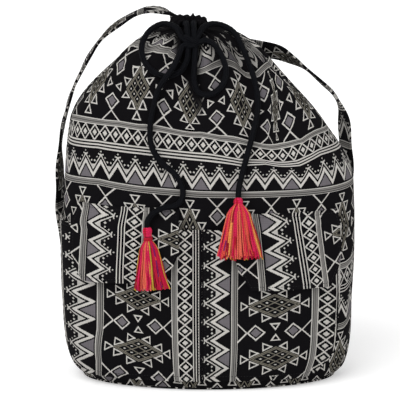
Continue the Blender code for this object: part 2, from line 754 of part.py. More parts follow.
def build_tassel(side, colours):
    """A tassel in three pieces on one line: head, bound neck and skirt."""
    word = "left" if side < 0 else "right"
    place, hang, drape = LEFT_TASSEL if side < 0 else RIGHT_TASSEL
    half = TASSEL_HEAD / 2
    neck = TASSEL_NECK / 2
    head = [(0.0, half), (TASSEL_CROWN, half)]
    for degrees in TASSEL_HEAD_DEGREES:
        angle = math.radians(degrees)
        head.append((half * math.cos(angle), half * math.sin(angle)))
    head += [(neck * 0.92, -half * 0.86), (neck * 0.80, -half), (0.0, -half)]
    turned("tassel_head_" + word, head, place, hang, colours[0])
    top = -half - YARN_GAP
    low = top - TASSEL_BINDING
    bulge = neck + BINDING_BULGE
    upper = [(0.0, top), (neck, top), (bulge, top - BINDING_ROUND)]
    lower = [(bulge, low + BINDING_ROUND), (neck, low), (0.0, low)]
    turned("tassel_binding_" + word, upper + lower, place, hang, colours[1])
    build_skirt("tassel_skirt_" + word, low - YARN_GAP, place, hang, drape, colours[2])


def build_skirt(name, top, place, hang, drape, colour):
    """The tassel's strands as one fluted flare, narrow at the neck and wide and flat at the hem."""
    columns = TASSEL_FLUTES * 2
    centre = Vector(place) - Vector(hang).normalized() * top
    reached = 0.0
    neck = TASSEL_NECK / 2
    shape = bmesh.new()
    rings = []
    for share in SKIRT_ROWS:
        flare = 0.30 * glide(share, 0.0, 0.22) + 0.70 * share
        wide = neck + (TASSEL_HEM_WIDTH / 2 - neck) * flare
        deep = neck * 0.92 + (TASSEL_HEM_DEPTH / 2 - neck * 0.92) * flare
        going = Vector(hang).normalized().lerp(Vector(drape).normalized(), glide(share, 0.0, 0.6))
        centre = centre + going * (share - reached) * TASSEL_SKIRT
        reached = share
        frame = hanging_frame(going, centre)
        reach = TASSEL_FLUTE_DEPTH * glide(share, 0.0, 0.4)
        ring = []
        for c in range(columns):
            turn = 2 * math.pi * c / columns
            flute = reach if c % 2 else -reach
            spot = Vector(((wide + flute) * math.cos(turn), (deep + flute) * math.sin(turn), 0.0))
            ring.append(shape.verts.new(frame @ spot))
        rings.append(ring)
    for upper, lower in zip(rings, rings[1:]):
        for c in range(columns):
            d = (c + 1) % columns
            shape.faces.new((upper[c], lower[c], lower[d], upper[d]))
    shape.faces.new(list(reversed(rings[-1])))
    shape.faces.new(rings[0])
    bmesh.ops.recalc_face_normals(shape, faces=shape.faces)
    mesh = bpy.data.meshes.new(name)
    shape.to_mesh(mesh)
    shape.free()
    return add_object(name, mesh, colour)


def main():
    """Build every piece of the backpack."""
    for old in list(bpy.data.objects):
        bpy.data.objects.remove(old)
    bag = bpy.data.collections.new(COLLECTION)
    bpy.context.scene.collection.children.link(bag)
    build_body_panel("body_front", 0.0, WEAVE)
    build_body_panel("body_back", math.pi, WEAVE)
    build_base_panel(WEAVE)
    build_casing(BLACK)
    for side in (-1, 1):
        build_pocket(side, WEAVE)
        build_flap(side, WEAVE)
    build_strap("shoulder_strap_left", LEFT_TOP_END, LEFT_STRAP, LEFT_LOW_END, WEAVE)
    build_strap("shoulder_strap_right", RIGHT_TOP_END, RIGHT_STRAP, RIGHT_LOW_END, WEAVE)
    build_channel_run(BLACK)
    build_knot(BLACK)
    build_free_cord("bow_loop_left", BOW_LOOP_LEFT, BLACK)
    build_free_cord("bow_loop_right", BOW_LOOP_RIGHT, BLACK)
    build_free_cord("cord_tail_left", CORD_TAIL_LEFT, BLACK)
    build_free_cord("cord_tail_right", CORD_TAIL_RIGHT, BLACK)
    for side in (-1, 1):
        build_tassel(side, YARN)


main()
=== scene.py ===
"""Dresses the drawstring backpack: woven banded cotton, gathered mouth, braided cord and yarn tassels.

Everything is in metres and in the row's frame: front towards -Y, +X to the viewer's right, +Z up, with the
origin under the middle of the base. Cloth coordinates are in millimetres: x runs along the woven bands and
y runs down across them.
"""

from __future__ import annotations

import logging
import math
from collections.abc import Callable, Iterator, Sequence
from contextlib import contextmanager
from dataclasses import dataclass
from enum import Enum
from functools import cached_property

import bmesh
import bpy
import numpy as np
from mathutils import Matrix, Vector


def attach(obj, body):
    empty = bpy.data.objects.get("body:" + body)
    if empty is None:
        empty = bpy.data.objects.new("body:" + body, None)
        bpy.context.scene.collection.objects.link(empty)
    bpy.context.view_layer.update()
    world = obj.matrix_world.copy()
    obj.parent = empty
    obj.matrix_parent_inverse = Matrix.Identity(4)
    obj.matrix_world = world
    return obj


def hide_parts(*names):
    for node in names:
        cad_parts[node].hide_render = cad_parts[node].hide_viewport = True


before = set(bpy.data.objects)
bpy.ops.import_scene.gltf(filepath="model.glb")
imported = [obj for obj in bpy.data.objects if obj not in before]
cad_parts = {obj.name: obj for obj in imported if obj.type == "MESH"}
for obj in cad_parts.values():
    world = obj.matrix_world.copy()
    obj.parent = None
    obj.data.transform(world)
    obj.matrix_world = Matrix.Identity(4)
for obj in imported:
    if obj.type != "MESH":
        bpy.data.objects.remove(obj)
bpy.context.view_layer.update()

LOG = logging.getLogger("backpack")

Array = np.ndarray
Piece = bpy.types.Object
Mesh = bpy.types.Mesh
Material = bpy.types.Material
Tree = bpy.types.NodeTree
Node = bpy.types.Node
Socket = bpy.types.NodeSocket
Colour = tuple[float, float, float]
Place = tuple[float, float, float]
Line = tuple[tuple[float, float], ...]

MM = 1000.0
TURN = 2.0 * math.pi
CLOTH_MAP = "cloth"
# Point attribute of painted shade: how far the print fades to black in the deepest gathers
PAINTED_FOLD_SHADE = "painted_fold_shade"
STRAND = "strand"


def srgb(red: int, green: int, blue: int) -> Colour:
    """A linear colour from the 0 to 255 numbers that a picture shows."""
    shares = (red / 255.0, green / 255.0, blue / 255.0)
    return tuple(v / 12.92 if v <= 0.04045 else ((v + 0.055) / 1.055) ** 2.4 for v in shares)


def glide(value: Array | float, low: float, high: float) -> Array:
    """Smooth step from 0 at low to 1 at high."""
    share = np.clip((np.asarray(value, float) - low) / (high - low), 0.0, 1.0)
    return share * share * (3.0 - 2.0 * share)


def bump(value: Array | float, middle: float, width: float) -> Array:
    """A smooth hump, 1 at its middle and about a third at its width from there."""
    return np.exp(-(((value - middle) / width) ** 2))


def unit(vectors: Array) -> Array:
    """Vectors made one long, along their last axis."""
    return vectors / np.maximum(np.linalg.norm(vectors, axis=-1, keepdims=True), 1e-12)


def walked(path: Array) -> Array:
    """Length from a path's start to each of its points."""
    return np.concatenate([[0.0], np.cumsum(np.linalg.norm(np.diff(path, axis=0), axis=1))])


class Side(Enum):
    """Left and right as the front is seen."""

    LEFT = -1
    RIGHT = 1

    @property
    def word(self) -> str:
        """The side's name as the nodes spell it."""
        return self.name.lower()


# Shader and geometry graphs


def arithmetic(operation: str, flipped: bool = False) -> Callable[[Term, Term | float], Term]:
    """A method of Term that adds one Math node.

    Args:
        operation: the node's operation.
        flipped: the other value comes first.

    Returns:
        The method.
    """

    def method(term: Term, other: Term | float) -> Term:
        """The node's result."""
        return term.bench.math(operation, *((other, term) if flipped else (term, other)))

    return method


@dataclass(frozen=True)
class Term:
    """A socket with arithmetic that adds Math nodes to its bench.

    Below and above give 1 or 0, least and most the smaller and larger value, and fold the distance from
    the nearest even multiple of a span, 0 to span.
    """

    bench: NodeBench
    value: Socket

    __add__ = arithmetic("ADD")
    __radd__ = arithmetic("ADD", flipped=True)
    __sub__ = arithmetic("SUBTRACT")
    __rsub__ = arithmetic("SUBTRACT", flipped=True)
    __mul__ = arithmetic("MULTIPLY")
    __rmul__ = arithmetic("MULTIPLY", flipped=True)
    __truediv__ = arithmetic("DIVIDE")
    __rtruediv__ = arithmetic("DIVIDE", flipped=True)
    __mod__ = arithmetic("FLOORED_MODULO")
    below = arithmetic("LESS_THAN")
    above = arithmetic("GREATER_THAN")
    least = arithmetic("MINIMUM")
    most = arithmetic("MAXIMUM")
    fold = arithmetic("PINGPONG")

    def __abs__(self) -> Term:
        """Size without sign."""
        return self.bench.math("ABSOLUTE", self)

    def near(self, middle: float, half: float) -> Term:
        """1 where the value is within half of the middle."""
        return self.bench.math("COMPARE", self, middle, half)


class NodeBench:
    """Adds nodes to one tree, shader or geometry, in the order that they are used."""

    def __init__(self, tree: Tree) -> None:
        """Start on a tree."""
        self.tree = tree

    def node(self, kind: str, **settings: object) -> Node:
        """Add a node.

        Args:
            kind: the node's type name.
            settings: properties to set on it.

        Returns:
            The new node.
        """
        made = self.tree.nodes.new(kind)
        made.location = (200 * (len(self.tree.nodes) % 12), -160 * (len(self.tree.nodes) // 12))
        for name, value in settings.items():
            setattr(made, name, value)
        return made

    def feed(self, socket: Socket, value: object) -> None:
        """Link a socket to a term, or set its value.

        Args:
            socket: the input.
            value: a term or a plain value.
        """
        if isinstance(value, Term):
            self.tree.links.new(value.value, socket)
        else:
            socket.default_value = (*value, 1.0) if socket.type == "RGBA" and len(value) == 3 else value

    def put(
        self, kind: str, inputs: dict[int | str, object] | None = None, out: int | str = 0, **settings: object
    ) -> Term:
        """Add a node, feed its inputs and take one output.

        Args:
            kind: the node's type name.
            inputs: what goes into its sockets, by name or number.
            out: the output to take.
            settings: properties to set on it.

        Returns:
            That output.
        """
        made = self.node(kind, **settings)
        for socket, value in (inputs or {}).items():
            self.feed(made.inputs[socket], value)
        return Term(self, made.outputs[out])

    def math(self, operation: str, *parts: Term | float) -> Term:
        """One Math node on up to three values."""
        return self.put("ShaderNodeMath", dict(enumerate(parts)), operation=operation)

    def split(self, vector: Term) -> tuple[Term, ...]:
        """The three parts of a vector."""
        made = self.node("ShaderNodeSeparateXYZ")
        self.feed(made.inputs[0], vector)
        return tuple(Term(self, socket) for socket in made.outputs)

    def join(self, *parts: Term | float) -> Term:
        """A vector from its parts."""
        return self.put("ShaderNodeCombineXYZ", dict(enumerate(parts)))

    def blend(self, share: Term, first: object, second: object) -> Term:
        """The first colour where the share is 0, the second where it is 1."""
        return self.put("ShaderNodeMix", {0: share, 6: first, 7: second}, out=2, data_type="RGBA")

    def scaled(self, vector: object, amount: Term) -> Term:
        """A vector or a colour times a number."""
        return self.put("ShaderNodeVectorMath", {0: vector, "Scale": amount}, operation="SCALE")

    def noise(self, vector: Term, scale: float, detail: float = 2.0) -> Term:
        """A Noise Texture's factor, 0 to 1 around 0.5."""
        return self.put("ShaderNodeTexNoise", {"Vector": vector, "Scale": scale, "Detail": detail})

    def group(self, tree: Tree, **inputs: object) -> dict[str, Term]:
        """Place a shader group.

        Args:
            tree: the group.
            inputs: its inputs by name.

        Returns:
            Its outputs by name.
        """
        made = self.node("ShaderNodeGroup")
        made.node_tree = tree
        for name, value in inputs.items():
            self.feed(made.inputs[name], value)
        return {socket.name: Term(self, socket) for socket in made.outputs}

    def end_mesh(self, leave: Node, mesh: Term, finish: Term) -> Tree:
        """Close a geometry tree with real geometry and its material.

        Args:
            leave: the tree's output node.
            mesh: the geometry.
            finish: the material.

        Returns:
            The tree.
        """
        real = self.put("GeometryNodeRealizeInstances", {0: mesh})
        self.feed(leave.inputs[0], self.put("GeometryNodeSetMaterial", {"Geometry": real, "Material": finish}))
        return self.tree


def start_group(
    name: str, takes: dict[str, str], gives: dict[str, str], kind: str = "ShaderNodeTree"
) -> tuple[NodeBench, dict[str, Term], Node]:
    """An empty node group with its sockets.

    Args:
        name: the group's name.
        takes: each input's name and socket type.
        gives: each output's name and socket type.
        kind: the tree's type.

    Returns:
        The bench, the inputs by name and the output node.
    """
    tree = bpy.data.node_groups.new(name, kind)
    for way, sockets in (("INPUT", takes), ("OUTPUT", gives)):
        for label, socket in sockets.items():
            tree.interface.new_socket(label, in_out=way, socket_type="NodeSocket" + socket)
    bench = NodeBench(tree)
    entry = bench.node("NodeGroupInput")
    return bench, {label: Term(bench, entry.outputs[label]) for label in takes}, bench.node("NodeGroupOutput")


@dataclass(frozen=True)
class BandPlan:
    """Places and sizes of the woven bands across one repeat, in millimetres, and their colours."""

    repeat: float = 163.0
    star_repeat: float = 64.0
    thread: float = 0.6
    stripe_half: float = 3.75
    star_middle: float = 49.75
    lozenge_tall: float = 29.2
    lozenge_wide: float = 14.0
    second_stripe: float = 95.75
    chain_middle: float = 108.5
    chain_half: float = 9.0
    chain_pitch: float = 13.6
    triple_middle: float = 122.5
    triple_step: float = 3.6
    triple_half: float = 0.8
    zigzag_top: float = 127.4
    zigzag_middle: float = 151.0
    zigzag_peak: float = 141.9
    zigzag_rise: float = 16.8
    zigzag_pitch: float = 21.34
    cream: Colour = srgb(188, 185, 180)
    grey: Colour = srgb(102, 98, 102)
    olive: Colour = srgb(112, 108, 98)
    black: Colour = srgb(15, 14, 16)

    @property
    def zigzag_slope(self) -> float:
        """How steeply the zigzag rises."""
        return self.zigzag_rise / (self.zigzag_pitch / 2)


PLAN = BandPlan()


class BandedPrint:
    """The woven pattern of lozenges, chains and zigzags as one shader group.

    Tall is the distance across the bands from the middle of the star band, wide the distance along them
    from the nearest star's line, and between the distance from the line halfway to the next star. The
    numbers in the methods are millimetres of cloth, or shares of a lozenge, a diamond or a link.
    """

    def __init__(self, plan: BandPlan) -> None:
        """Build the group.

        Args:
            plan: the bands' sizes and colours.
        """
        self.plan = plan
        bench, take, leave = start_group("banded_weave", {"Cloth": "Vector"}, {"Colour": "Color", "Raised": "Float"})
        self.bench = bench
        across, down, _ = bench.split(take["Cloth"])
        self.along = self.to_thread(across)
        self.place = self.to_thread(down) % plan.repeat
        self.tall = abs(self.place - plan.star_middle)
        self.wide = self.along.fold(plan.star_repeat / 2)
        self.between = plan.star_repeat / 2 - self.wide
        olive = self.lozenge_lines()
        grey = self.diamond_reach().below(0.55).most(self.zigzag_fill())
        cream = self.lozenge_dots()
        for lines in (
            self.stripe_lines, self.small_triangles, self.diamond_lines, self.chain_lines, self.triple_lines,
            self.zigzag_lines, self.tip_stars,
        ):
            cream = cream.most(lines())
        colour = bench.blend(grey, plan.black, plan.grey)
        colour = bench.blend(olive, colour, plan.olive)
        bench.feed(leave.inputs["Colour"], bench.blend(cream, colour, plan.cream))
        bench.feed(leave.inputs["Raised"], cream.most(grey * 0.6).most(olive * 0.7))
        self.tree = bench.tree

    def to_thread(self, value: Term) -> Term:
        """Snap a length to the middle of its thread."""
        return (self.bench.math("FLOOR", value / self.plan.thread) + 0.5) * self.plan.thread

    def lozenge_shares(self) -> tuple[Term, Term]:
        """How far a place lies towards a lozenge's sides: the larger share and the smaller."""
        tall = self.tall / self.plan.lozenge_tall
        wide = self.wide / self.plan.lozenge_wide
        return tall + wide, abs(tall - wide)

    def lozenge_lines(self) -> Term:
        """The big lozenge's double outline and lattice."""
        outer, inner = self.lozenge_shares()
        lattice = outer.near(0.28, 0.04).most(inner.near(0.28, 0.04)) * outer.below(0.84)
        return lattice.most(outer.near(0.965, 0.045)).most(outer.near(0.84, 0.035))

    def lozenge_dots(self) -> Term:
        """Pale dots in the lozenge's outer cells."""
        outer, inner = self.lozenge_shares()
        first = abs(outer - 0.56)
        second = inner.least(abs(inner - 0.56))
        return (first * first + second * second).below(0.0052)

    def stripe_lines(self) -> Term:
        """The stripes: pale edges with a dimmer, lined middle."""
        plan = self.plan
        away = abs(self.place - plan.second_stripe)
        for middle in (plan.stripe_half, plan.repeat + plan.stripe_half):
            away = away.least(abs(self.place - middle))
        return away.near(3.2, 0.55) * 0.92 + away.below(2.5) * 0.13 + away.near(1.15, 0.65) * 0.27

    @staticmethod
    def triangle(forward: Term, sideways: Term, tip: float, base: float, half: float) -> Term:
        """The outline of a small triangle that points backward.

        Args:
            forward: distance along its axis.
            sideways: distance from its axis, not negative.
            tip: where its tip is along the axis.
            base: where its base is.
            half: half of its base.

        Returns:
            1 on its outline.
        """
        slope = half / (base - tip)
        flank = (sideways - (forward - tip) * slope) * (1.0 / math.hypot(1.0, slope))
        return (forward - base).most(flank).near(-0.72, 0.72)

    def small_triangles(self) -> Term:
        """The triangles around each lozenge and the facing pair between two of them."""
        made = self.triangle(self.between, self.tall, 1.9, 10.9, 6.2)
        for shift, tip, base, half in ((0.0, 28.7, 39.0, 5.9), (6.8, 17.0, 28.8, 5.4), (14.2, 3.2, 14.6, 5.6)):
            made = made.most(self.triangle(self.tall, abs(self.wide - shift), tip, base, half))
        return made

    def diamond_reach(self) -> Term:
        """How far a place lies from the heart of a diamond between the lozenges towards its corners."""
        return abs(self.tall - 21.2) / 10.8 + self.between / 9.8

    def diamond_lines(self) -> Term:
        """The diamonds' outlines and the arms that run on to the stripes."""
        arms = (self.between - abs(self.tall - 31.6)).near(0.0, 1.05)
        return self.diamond_reach().near(0.89, 0.11).most(arms * self.tall.near(36.9, 5.4))

    def chain_lines(self) -> Term:
        """The crossing lines of the chain and the pale hearts of its links."""
        plan = self.plan
        half_pitch = plan.chain_pitch / 2
        away = abs(self.place - plan.chain_middle)
        reach = away / plan.chain_half + self.along.fold(half_pitch) / half_pitch
        return reach.near(1.0, 0.14).most(reach.below(0.43)) * away.below(plan.chain_half)

    def triple_lines(self) -> Term:
        """Three pale lines side by side."""
        away = abs(self.place - self.plan.triple_middle)
        return away.below(self.plan.triple_half).most(away.near(self.plan.triple_step, self.plan.triple_half))

    def zigzag_distance(self) -> Term:
        """Distance above the zigzag's middle line, square to it."""
        plan = self.plan
        line = self.along.fold(plan.zigzag_pitch / 2) * plan.zigzag_slope + plan.zigzag_peak
        return (line - self.place) * (1.0 / math.hypot(1.0, plan.zigzag_slope))

    def zigzag_fill(self) -> Term:
        """The grey triangles under four peaks of every nine."""
        pitch = self.plan.zigzag_pitch
        under = self.zigzag_distance().below(-3.1) * self.place.near(self.plan.zigzag_middle, 10.4)
        peaks = self.along.fold(4.5 * pitch) / pitch
        return under * abs(abs(peaks - 2.0) - 1.0).below(0.5)

    def zigzag_lines(self) -> Term:
        """The thick zigzag, and above it a thin one with filled valleys."""
        away = self.zigzag_distance()
        valleys = away.above(4.1) * self.place.near(self.plan.zigzag_middle, 5.4)
        thin = away.near(4.1, 0.62).most(valleys * 0.86) * 0.9
        return away.near(0.0, 1.48).most(thin) * self.place.above(self.plan.zigzag_top)

    def tip_stars(self) -> Term:
        """A little star on each peak of the zigzag, a dot beyond it and dots down its sides."""
        way = self.along.fold(self.plan.zigzag_pitch / 2)
        tall = self.place - (self.plan.zigzag_peak - 7.5)
        made = (tall + way * 0.36).near(0.0, 0.75) * way.below(3.5)
        made = made.most((way + abs(tall)).below(1.5))
        for across, down, reach in ((0.0, -4.1, 1.1), (5.3, 2.7, 1.1), (8.5, 6.9, 1.35)):
            made = made.most((abs(way - across) + abs(tall - down)).below(reach))
        return made * 0.9


def build_thread_group() -> Tree:
    """A plain weave, one thread over, one under, with slubs: the threads' height and their tint."""
    takes = {"Cloth": "Vector", "Thread": "Float"}
    bench, take, leave = start_group("plain_weave", takes, {"Height": "Float", "Tint": "Float"})
    across, down, _ = bench.split(take["Cloth"])
    turn = math.pi / take["Thread"]
    weave = bench.math("SINE", across * turn) * bench.math("SINE", down * turn)
    bench.feed(leave.inputs["Height"], weave * 0.5 + 0.5)
    tint = 0.55
    for wide, tall, share in ((0.05, 0.9, 0.35), (0.9, 0.05, 0.30), (0.02, 0.02, 0.25)):
        tint = tint + bench.noise(bench.join(across * wide, down * tall), 1.0) * share
    bench.feed(leave.inputs["Tint"], tint)
    return bench.tree


def build_braid_group() -> Tree:
    """The braid of a round cord, read from its own map: x around, 0 to 1, and y along in metres."""
    takes = {"Cord": "Vector", "Strands": "Float", "Pitch": "Float"}
    bench, take, leave = start_group("round_braid", takes, {"Height": "Float", "Shade": "Float"})
    around, along, _ = bench.split(take["Cord"])
    turns = around * take["Strands"] * TURN
    run = along / take["Pitch"] * TURN
    one, other = (bench.math("SINE", phase) * 0.5 + 0.5 for phase in (turns + run, turns - run))
    bench.feed(leave.inputs["Height"], one * one + other * other)
    fuzz = bench.noise(bench.join(around * 30.0, along * 900.0), 1.0, 3.0)
    bench.feed(leave.inputs["Shade"], 0.55 + one * other * 0.6 + fuzz * 0.5)
    return bench.tree


@dataclass(frozen=True)
class Finish:
    """A finish's plain numbers: what stays the same all over the surface."""

    name: str
    roughness: float = 0.85
    sheen: float = 0.0
    specular: float = 0.25
    bump: float = 0.4
    depth: float = 0.0003

    def start(self) -> tuple[Material, NodeBench]:
        """An empty material with its plain numbers set, and its bench."""
        made = bpy.data.materials.new(self.name)
        made.use_nodes = True
        shader = made.node_tree.nodes["Principled BSDF"]
        plain = {"Roughness": self.roughness, "Specular IOR Level": self.specular}
        for label, value in (plain | {"Sheen Weight": self.sheen, "Sheen Roughness": 0.6}).items():
            shader.inputs[label].default_value = value
        return made, NodeBench(made.node_tree)

    def dress(self, bench: NodeBench, colour: Term, height: Term) -> None:
        """Drive the shader's colour, and its normal from a height.

        Args:
            bench: the material's bench.
            colour: the colour.
            height: the height to press in.
        """
        shader = bench.tree.nodes["Principled BSDF"]
        bench.feed(shader.inputs["Base Color"], colour)
        pressed = {"Strength": self.bump, "Distance": self.depth, "Height": height}
        bench.feed(shader.inputs["Normal"], bench.put("ShaderNodeBump", pressed))


class Finishes:
    """Every material of the backpack, made once."""

    def __init__(self) -> None:
        """Build the shared groups and the materials."""
        self.stitches = build_stitch_tree()
        self.weave = build_thread_group()
        self.braid = build_braid_group()
        self.bands = BandedPrint(PLAN).tree
        self.printed = self.printed_cloth(Finish("printed_cotton", specular=0.03))
        self.strap = self.printed_cloth(Finish("strap_cotton", specular=0.03, bump=0.5), shade=0.9)
        self.hem = self.plain_cloth(Finish("hem_cotton", specular=0.03), PLAN.black)
        self.cord = self.braided(Finish("black_braid", roughness=0.7, specular=0.06, bump=0.9, depth=0.0006))
        self.thread = self.plain_thread(Finish("black_thread", roughness=0.6, specular=0.1), srgb(26, 25, 27))
        self.yarn = self.dyed_yarn(Finish("dyed_yarn", roughness=0.75, sheen=0.04, specular=0.1, bump=0.8))

    def printed_cloth(self, finish: Finish, shade: float = 1.0) -> Material:
        """Woven banded cotton.

        Args:
            finish: its plain numbers.
            shade: lighter or darker than the plan's colours.

        Returns:
            The material.
        """
        made, bench = finish.start()
        cloth = bench.put("ShaderNodeUVMap", uv_map=CLOTH_MAP)
        bands = bench.group(self.bands, Cloth=cloth)
        threads = bench.group(self.weave, Cloth=cloth, Thread=PLAN.thread)
        # Painted shade: the fold-shade mark fades the print to black in the deepest gathers, under and beside the
        # knot and at the mouth
        deep = bench.put("ShaderNodeAttribute", out="Fac", attribute_name=PAINTED_FOLD_SHADE)
        colour = bench.blend(deep, bands["Colour"], PLAN.black)
        height = bands["Raised"] * 0.6 + threads["Height"] * 0.5
        finish.dress(bench, bench.scaled(colour, threads["Tint"] * shade), height)
        return made

    def plain_cloth(self, finish: Finish, colour: Colour) -> Material:
        """Plain dark cotton with its weave.

        Args:
            finish: its plain numbers.
            colour: its colour.

        Returns:
            The material.
        """
        made, bench = finish.start()
        cloth = bench.put("ShaderNodeUVMap", uv_map=CLOTH_MAP)
        threads = bench.group(self.weave, Cloth=cloth, Thread=PLAN.thread)
        base = bench.blend(threads["Tint"].above(1.12) * 0.35, colour, PLAN.olive)
        finish.dress(bench, bench.scaled(base, threads["Tint"]), threads["Height"])
        return made

    def braided(self, finish: Finish) -> Material:
        """Black braided cord.

        Args:
            finish: its plain numbers.

        Returns:
            The material.
        """
        made, bench = finish.start()
        cord = bench.put("ShaderNodeUVMap", uv_map=CLOTH_MAP)
        braid = bench.group(self.braid, Cord=cord, Strands=8.0, Pitch=0.018)
        finish.dress(bench, bench.scaled(srgb(11, 12, 16), braid["Shade"]), braid["Height"])
        return made

    def plain_thread(self, finish: Finish, colour: Colour) -> Material:
        """Sewing thread with a twist.

        Args:
            finish: its plain numbers.
            colour: its colour.

        Returns:
            The material.
        """
        made, bench = finish.start()
        grain = bench.noise(bench.put("ShaderNodeTexCoord", out="Object"), 900.0)
        finish.dress(bench, bench.scaled(colour, 0.6 + grain * 0.9), grain)
        return made

    def dyed_yarn(self, finish: Finish) -> Material:
        """Cotton yarn dyed in warm colours that change from strand to strand and along each.

        Args:
            finish: its plain numbers.

        Returns:
            The material.
        """
        made, bench = finish.start()
        along, pick, twist = bench.split(bench.put("ShaderNodeAttribute", out="Vector", attribute_name=STRAND))
        drift = bench.noise(bench.join(along * 0.9, pick * 57.0), 1.0)
        choice = bench.math("FRACT", pick * 0.93 + drift * 0.22)
        ramp = bench.node("ShaderNodeValToRGB")
        dyes = ramp.color_ramp
        dyes.interpolation = "CONSTANT"
        stops = (
            (0.00, srgb(206, 24, 68)), (0.12, srgb(184, 16, 42)), (0.22, srgb(226, 34, 88)),
            (0.32, srgb(240, 112, 88)), (0.42, srgb(166, 14, 46)), (0.50, srgb(243, 156, 84)),
            (0.61, srgb(206, 170, 60)), (0.75, srgb(208, 20, 66)), (0.89, srgb(232, 84, 70)),
            (0.97, srgb(138, 30, 104)),
        )
        while len(dyes.elements) < len(stops):
            dyes.elements.new(0.5)
        for element, (place, colour) in zip(dyes.elements, stops):
            element.position = place
            element.color = (*colour, 1.0)
        bench.feed(ramp.inputs[0], choice)
        ply = bench.math("SINE", twist * TURN + along * 160.0)
        finish.dress(bench, bench.scaled(Term(bench, ramp.outputs[0]), 0.83 + ply * 0.2), ply)
        return made


# Mesh making


@contextmanager
def reshaped(mesh: Mesh) -> Iterator[bmesh.types.BMesh]:
    """A mesh opened for editing, written back at the end.

    Args:
        mesh: the mesh.

    Yields:
        Its editable form.
    """
    shape = bmesh.new()
    shape.from_mesh(mesh)
    yield shape
    shape.to_mesh(mesh)
    shape.free()


def placed(name: str, data: bpy.types.ID) -> Piece:
    """An object in the scene."""
    made = bpy.data.objects.new(name, data)
    bpy.context.scene.collection.objects.link(made)
    return made


def finished(
    name: str, mesh: Mesh, nodes: Sequence[str], slot: str, *materials: Material,
    sharp_deg: float = 50.0,
) -> Piece:
    """Put a mesh into the scene as a piece and hide the CAD parts that it replaces.

    Args:
        name: the piece's name.
        mesh: its mesh, in place.
        nodes: the CAD nodes that it replaces.
        slot: its material slot; not used.
        materials: its finishes, in the order of the faces' numbers.
        sharp_deg: edges sharper than this stay sharp.

    Returns:
        The piece.
    """
    numbers = np.zeros(len(mesh.polygons), np.int32)
    mesh.polygons.foreach_get("material_index", numbers)
    mesh.materials.clear()
    for material in materials:
        mesh.materials.append(material)
    mesh.polygons.foreach_set("material_index", numbers)
    mesh.shade_smooth()
    mesh.set_sharp_from_angle(angle=math.radians(sharp_deg))
    piece = placed(name, mesh)
    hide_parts(*nodes)
    return piece


def grid_faces(rows: int, columns: int, closed: bool = False) -> Array:
    """The quads of a grid of places.

    Args:
        rows: the grid's rows.
        columns: its columns.
        closed: the last column joins the first.

    Returns:
        Each quad's four indices.
    """
    row, column = np.mgrid[0 : rows - 1, 0 : columns if closed else columns - 1]
    here = row * columns + column
    beside = row * columns + (column + 1) % columns
    return np.stack([here, beside, beside + columns, here + columns], axis=-1).reshape(-1, 4)


def ring_faces(first: Array, second: Array) -> Array:
    """The quads between two closed loops of indices."""
    return np.stack([first, second, np.roll(second, -1), np.roll(first, -1)], axis=1)


def border_loop(rows: int, columns: int) -> Array:
    """The indices of a grid's border, once around."""
    grid = np.arange(rows * columns).reshape(rows, columns)
    return np.concatenate([grid[0], grid[1:, -1], grid[-1, -2::-1], grid[-2:0:-1, 0]])


def mesh_from(name: str, points: Array, maps: Array, *faces: Array) -> Mesh:
    """A mesh with a cloth map and outward faces.

    Args:
        name: the mesh's name.
        points: its places.
        maps: cloth coordinates of each place.
        faces: rows of indices, one row for each face.

    Returns:
        The mesh.
    """
    mesh = bpy.data.meshes.new(name)
    mesh.from_pydata(points.tolist(), [], [face for rows in faces for face in rows.tolist()])
    layer = mesh.uv_layers.new(name=CLOTH_MAP)
    corners = np.zeros(len(mesh.loops), int)
    mesh.loops.foreach_get("vertex_index", corners)
    layer.data.foreach_set("uv", maps[corners].astype(np.float32).ravel())
    with reshaped(mesh) as shape:
        bmesh.ops.recalc_face_normals(shape, faces=shape.faces)
    return mesh


def shell_mesh(name: str, outer: Array, inner: Array, cloth: Array, closed: bool = False) -> Mesh:
    """A closed cloth shell between two grids, with a rounded rim.

    Args:
        name: the mesh's name.
        outer: the places of the grid that faces out, rows by columns.
        inner: the places of the grid behind it.
        cloth: cloth coordinates of both.
        closed: the grid's last column joins its first.

    Returns:
        The mesh, with its cloth map.
    """
    rows, columns = outer.shape[:2]
    count = rows * columns
    points = [outer.reshape(-1, 3), inner.reshape(-1, 3)]
    maps = [cloth.reshape(-1, 2)] * 2
    quads = grid_faces(rows, columns, closed)
    faces = [quads, quads[:, [0, 3, 2, 1]] + count]
    if closed:
        for loop in (np.arange(columns), count - columns + np.arange(columns)):
            faces.append(ring_faces(loop, loop + count))
    else:
        loop = border_loop(rows, columns)
        front, back = points[0][loop], points[1][loop]
        middle = (front + back) / 2
        away = unit(np.cross(np.roll(middle, -1, axis=0) - np.roll(middle, 1, axis=0), front - back))
        thick = np.linalg.norm(front - back, axis=1, keepdims=True)
        points.append(middle - away * thick * 0.45)
        maps.append(maps[0][loop])
        rim = 2 * count + np.arange(len(loop))
        faces += [ring_faces(loop, rim), ring_faces(rim, loop + count)]
    return mesh_from(name, np.concatenate(points), np.concatenate(maps), *faces)


def smooth_route(points: Sequence[Sequence[float]], step: float) -> Array:
    """Points evenly along a smooth curve through a route's own points.

    Args:
        points: the route; more than three columns ride along.
        step: distance between the new points, in metres.

    Returns:
        The points, with the same columns.
    """
    route = np.array(points, float)
    ends = np.vstack([2 * route[0] - route[1], route, 2 * route[-1] - route[-2]])
    share = np.linspace(0.0, 1.0, 24, endpoint=False)[:, None]
    fine = []
    for before, start, end, after in zip(ends, ends[1:], ends[2:], ends[3:]):
        curve = 2 * start + (end - before) * share
        curve += (2 * before - 5 * start + 4 * end - after) * share**2
        fine.append((curve + (3 * start - before - 3 * end + after) * share**3) / 2)
    line = np.concatenate([*fine, route[-1:]])
    lengths = walked(line[:, :3])
    places = np.linspace(0.0, lengths[-1], max(int(round(lengths[-1] / step)) + 1, 3))
    return np.stack([np.interp(places, lengths, column) for column in line.T], axis=1)


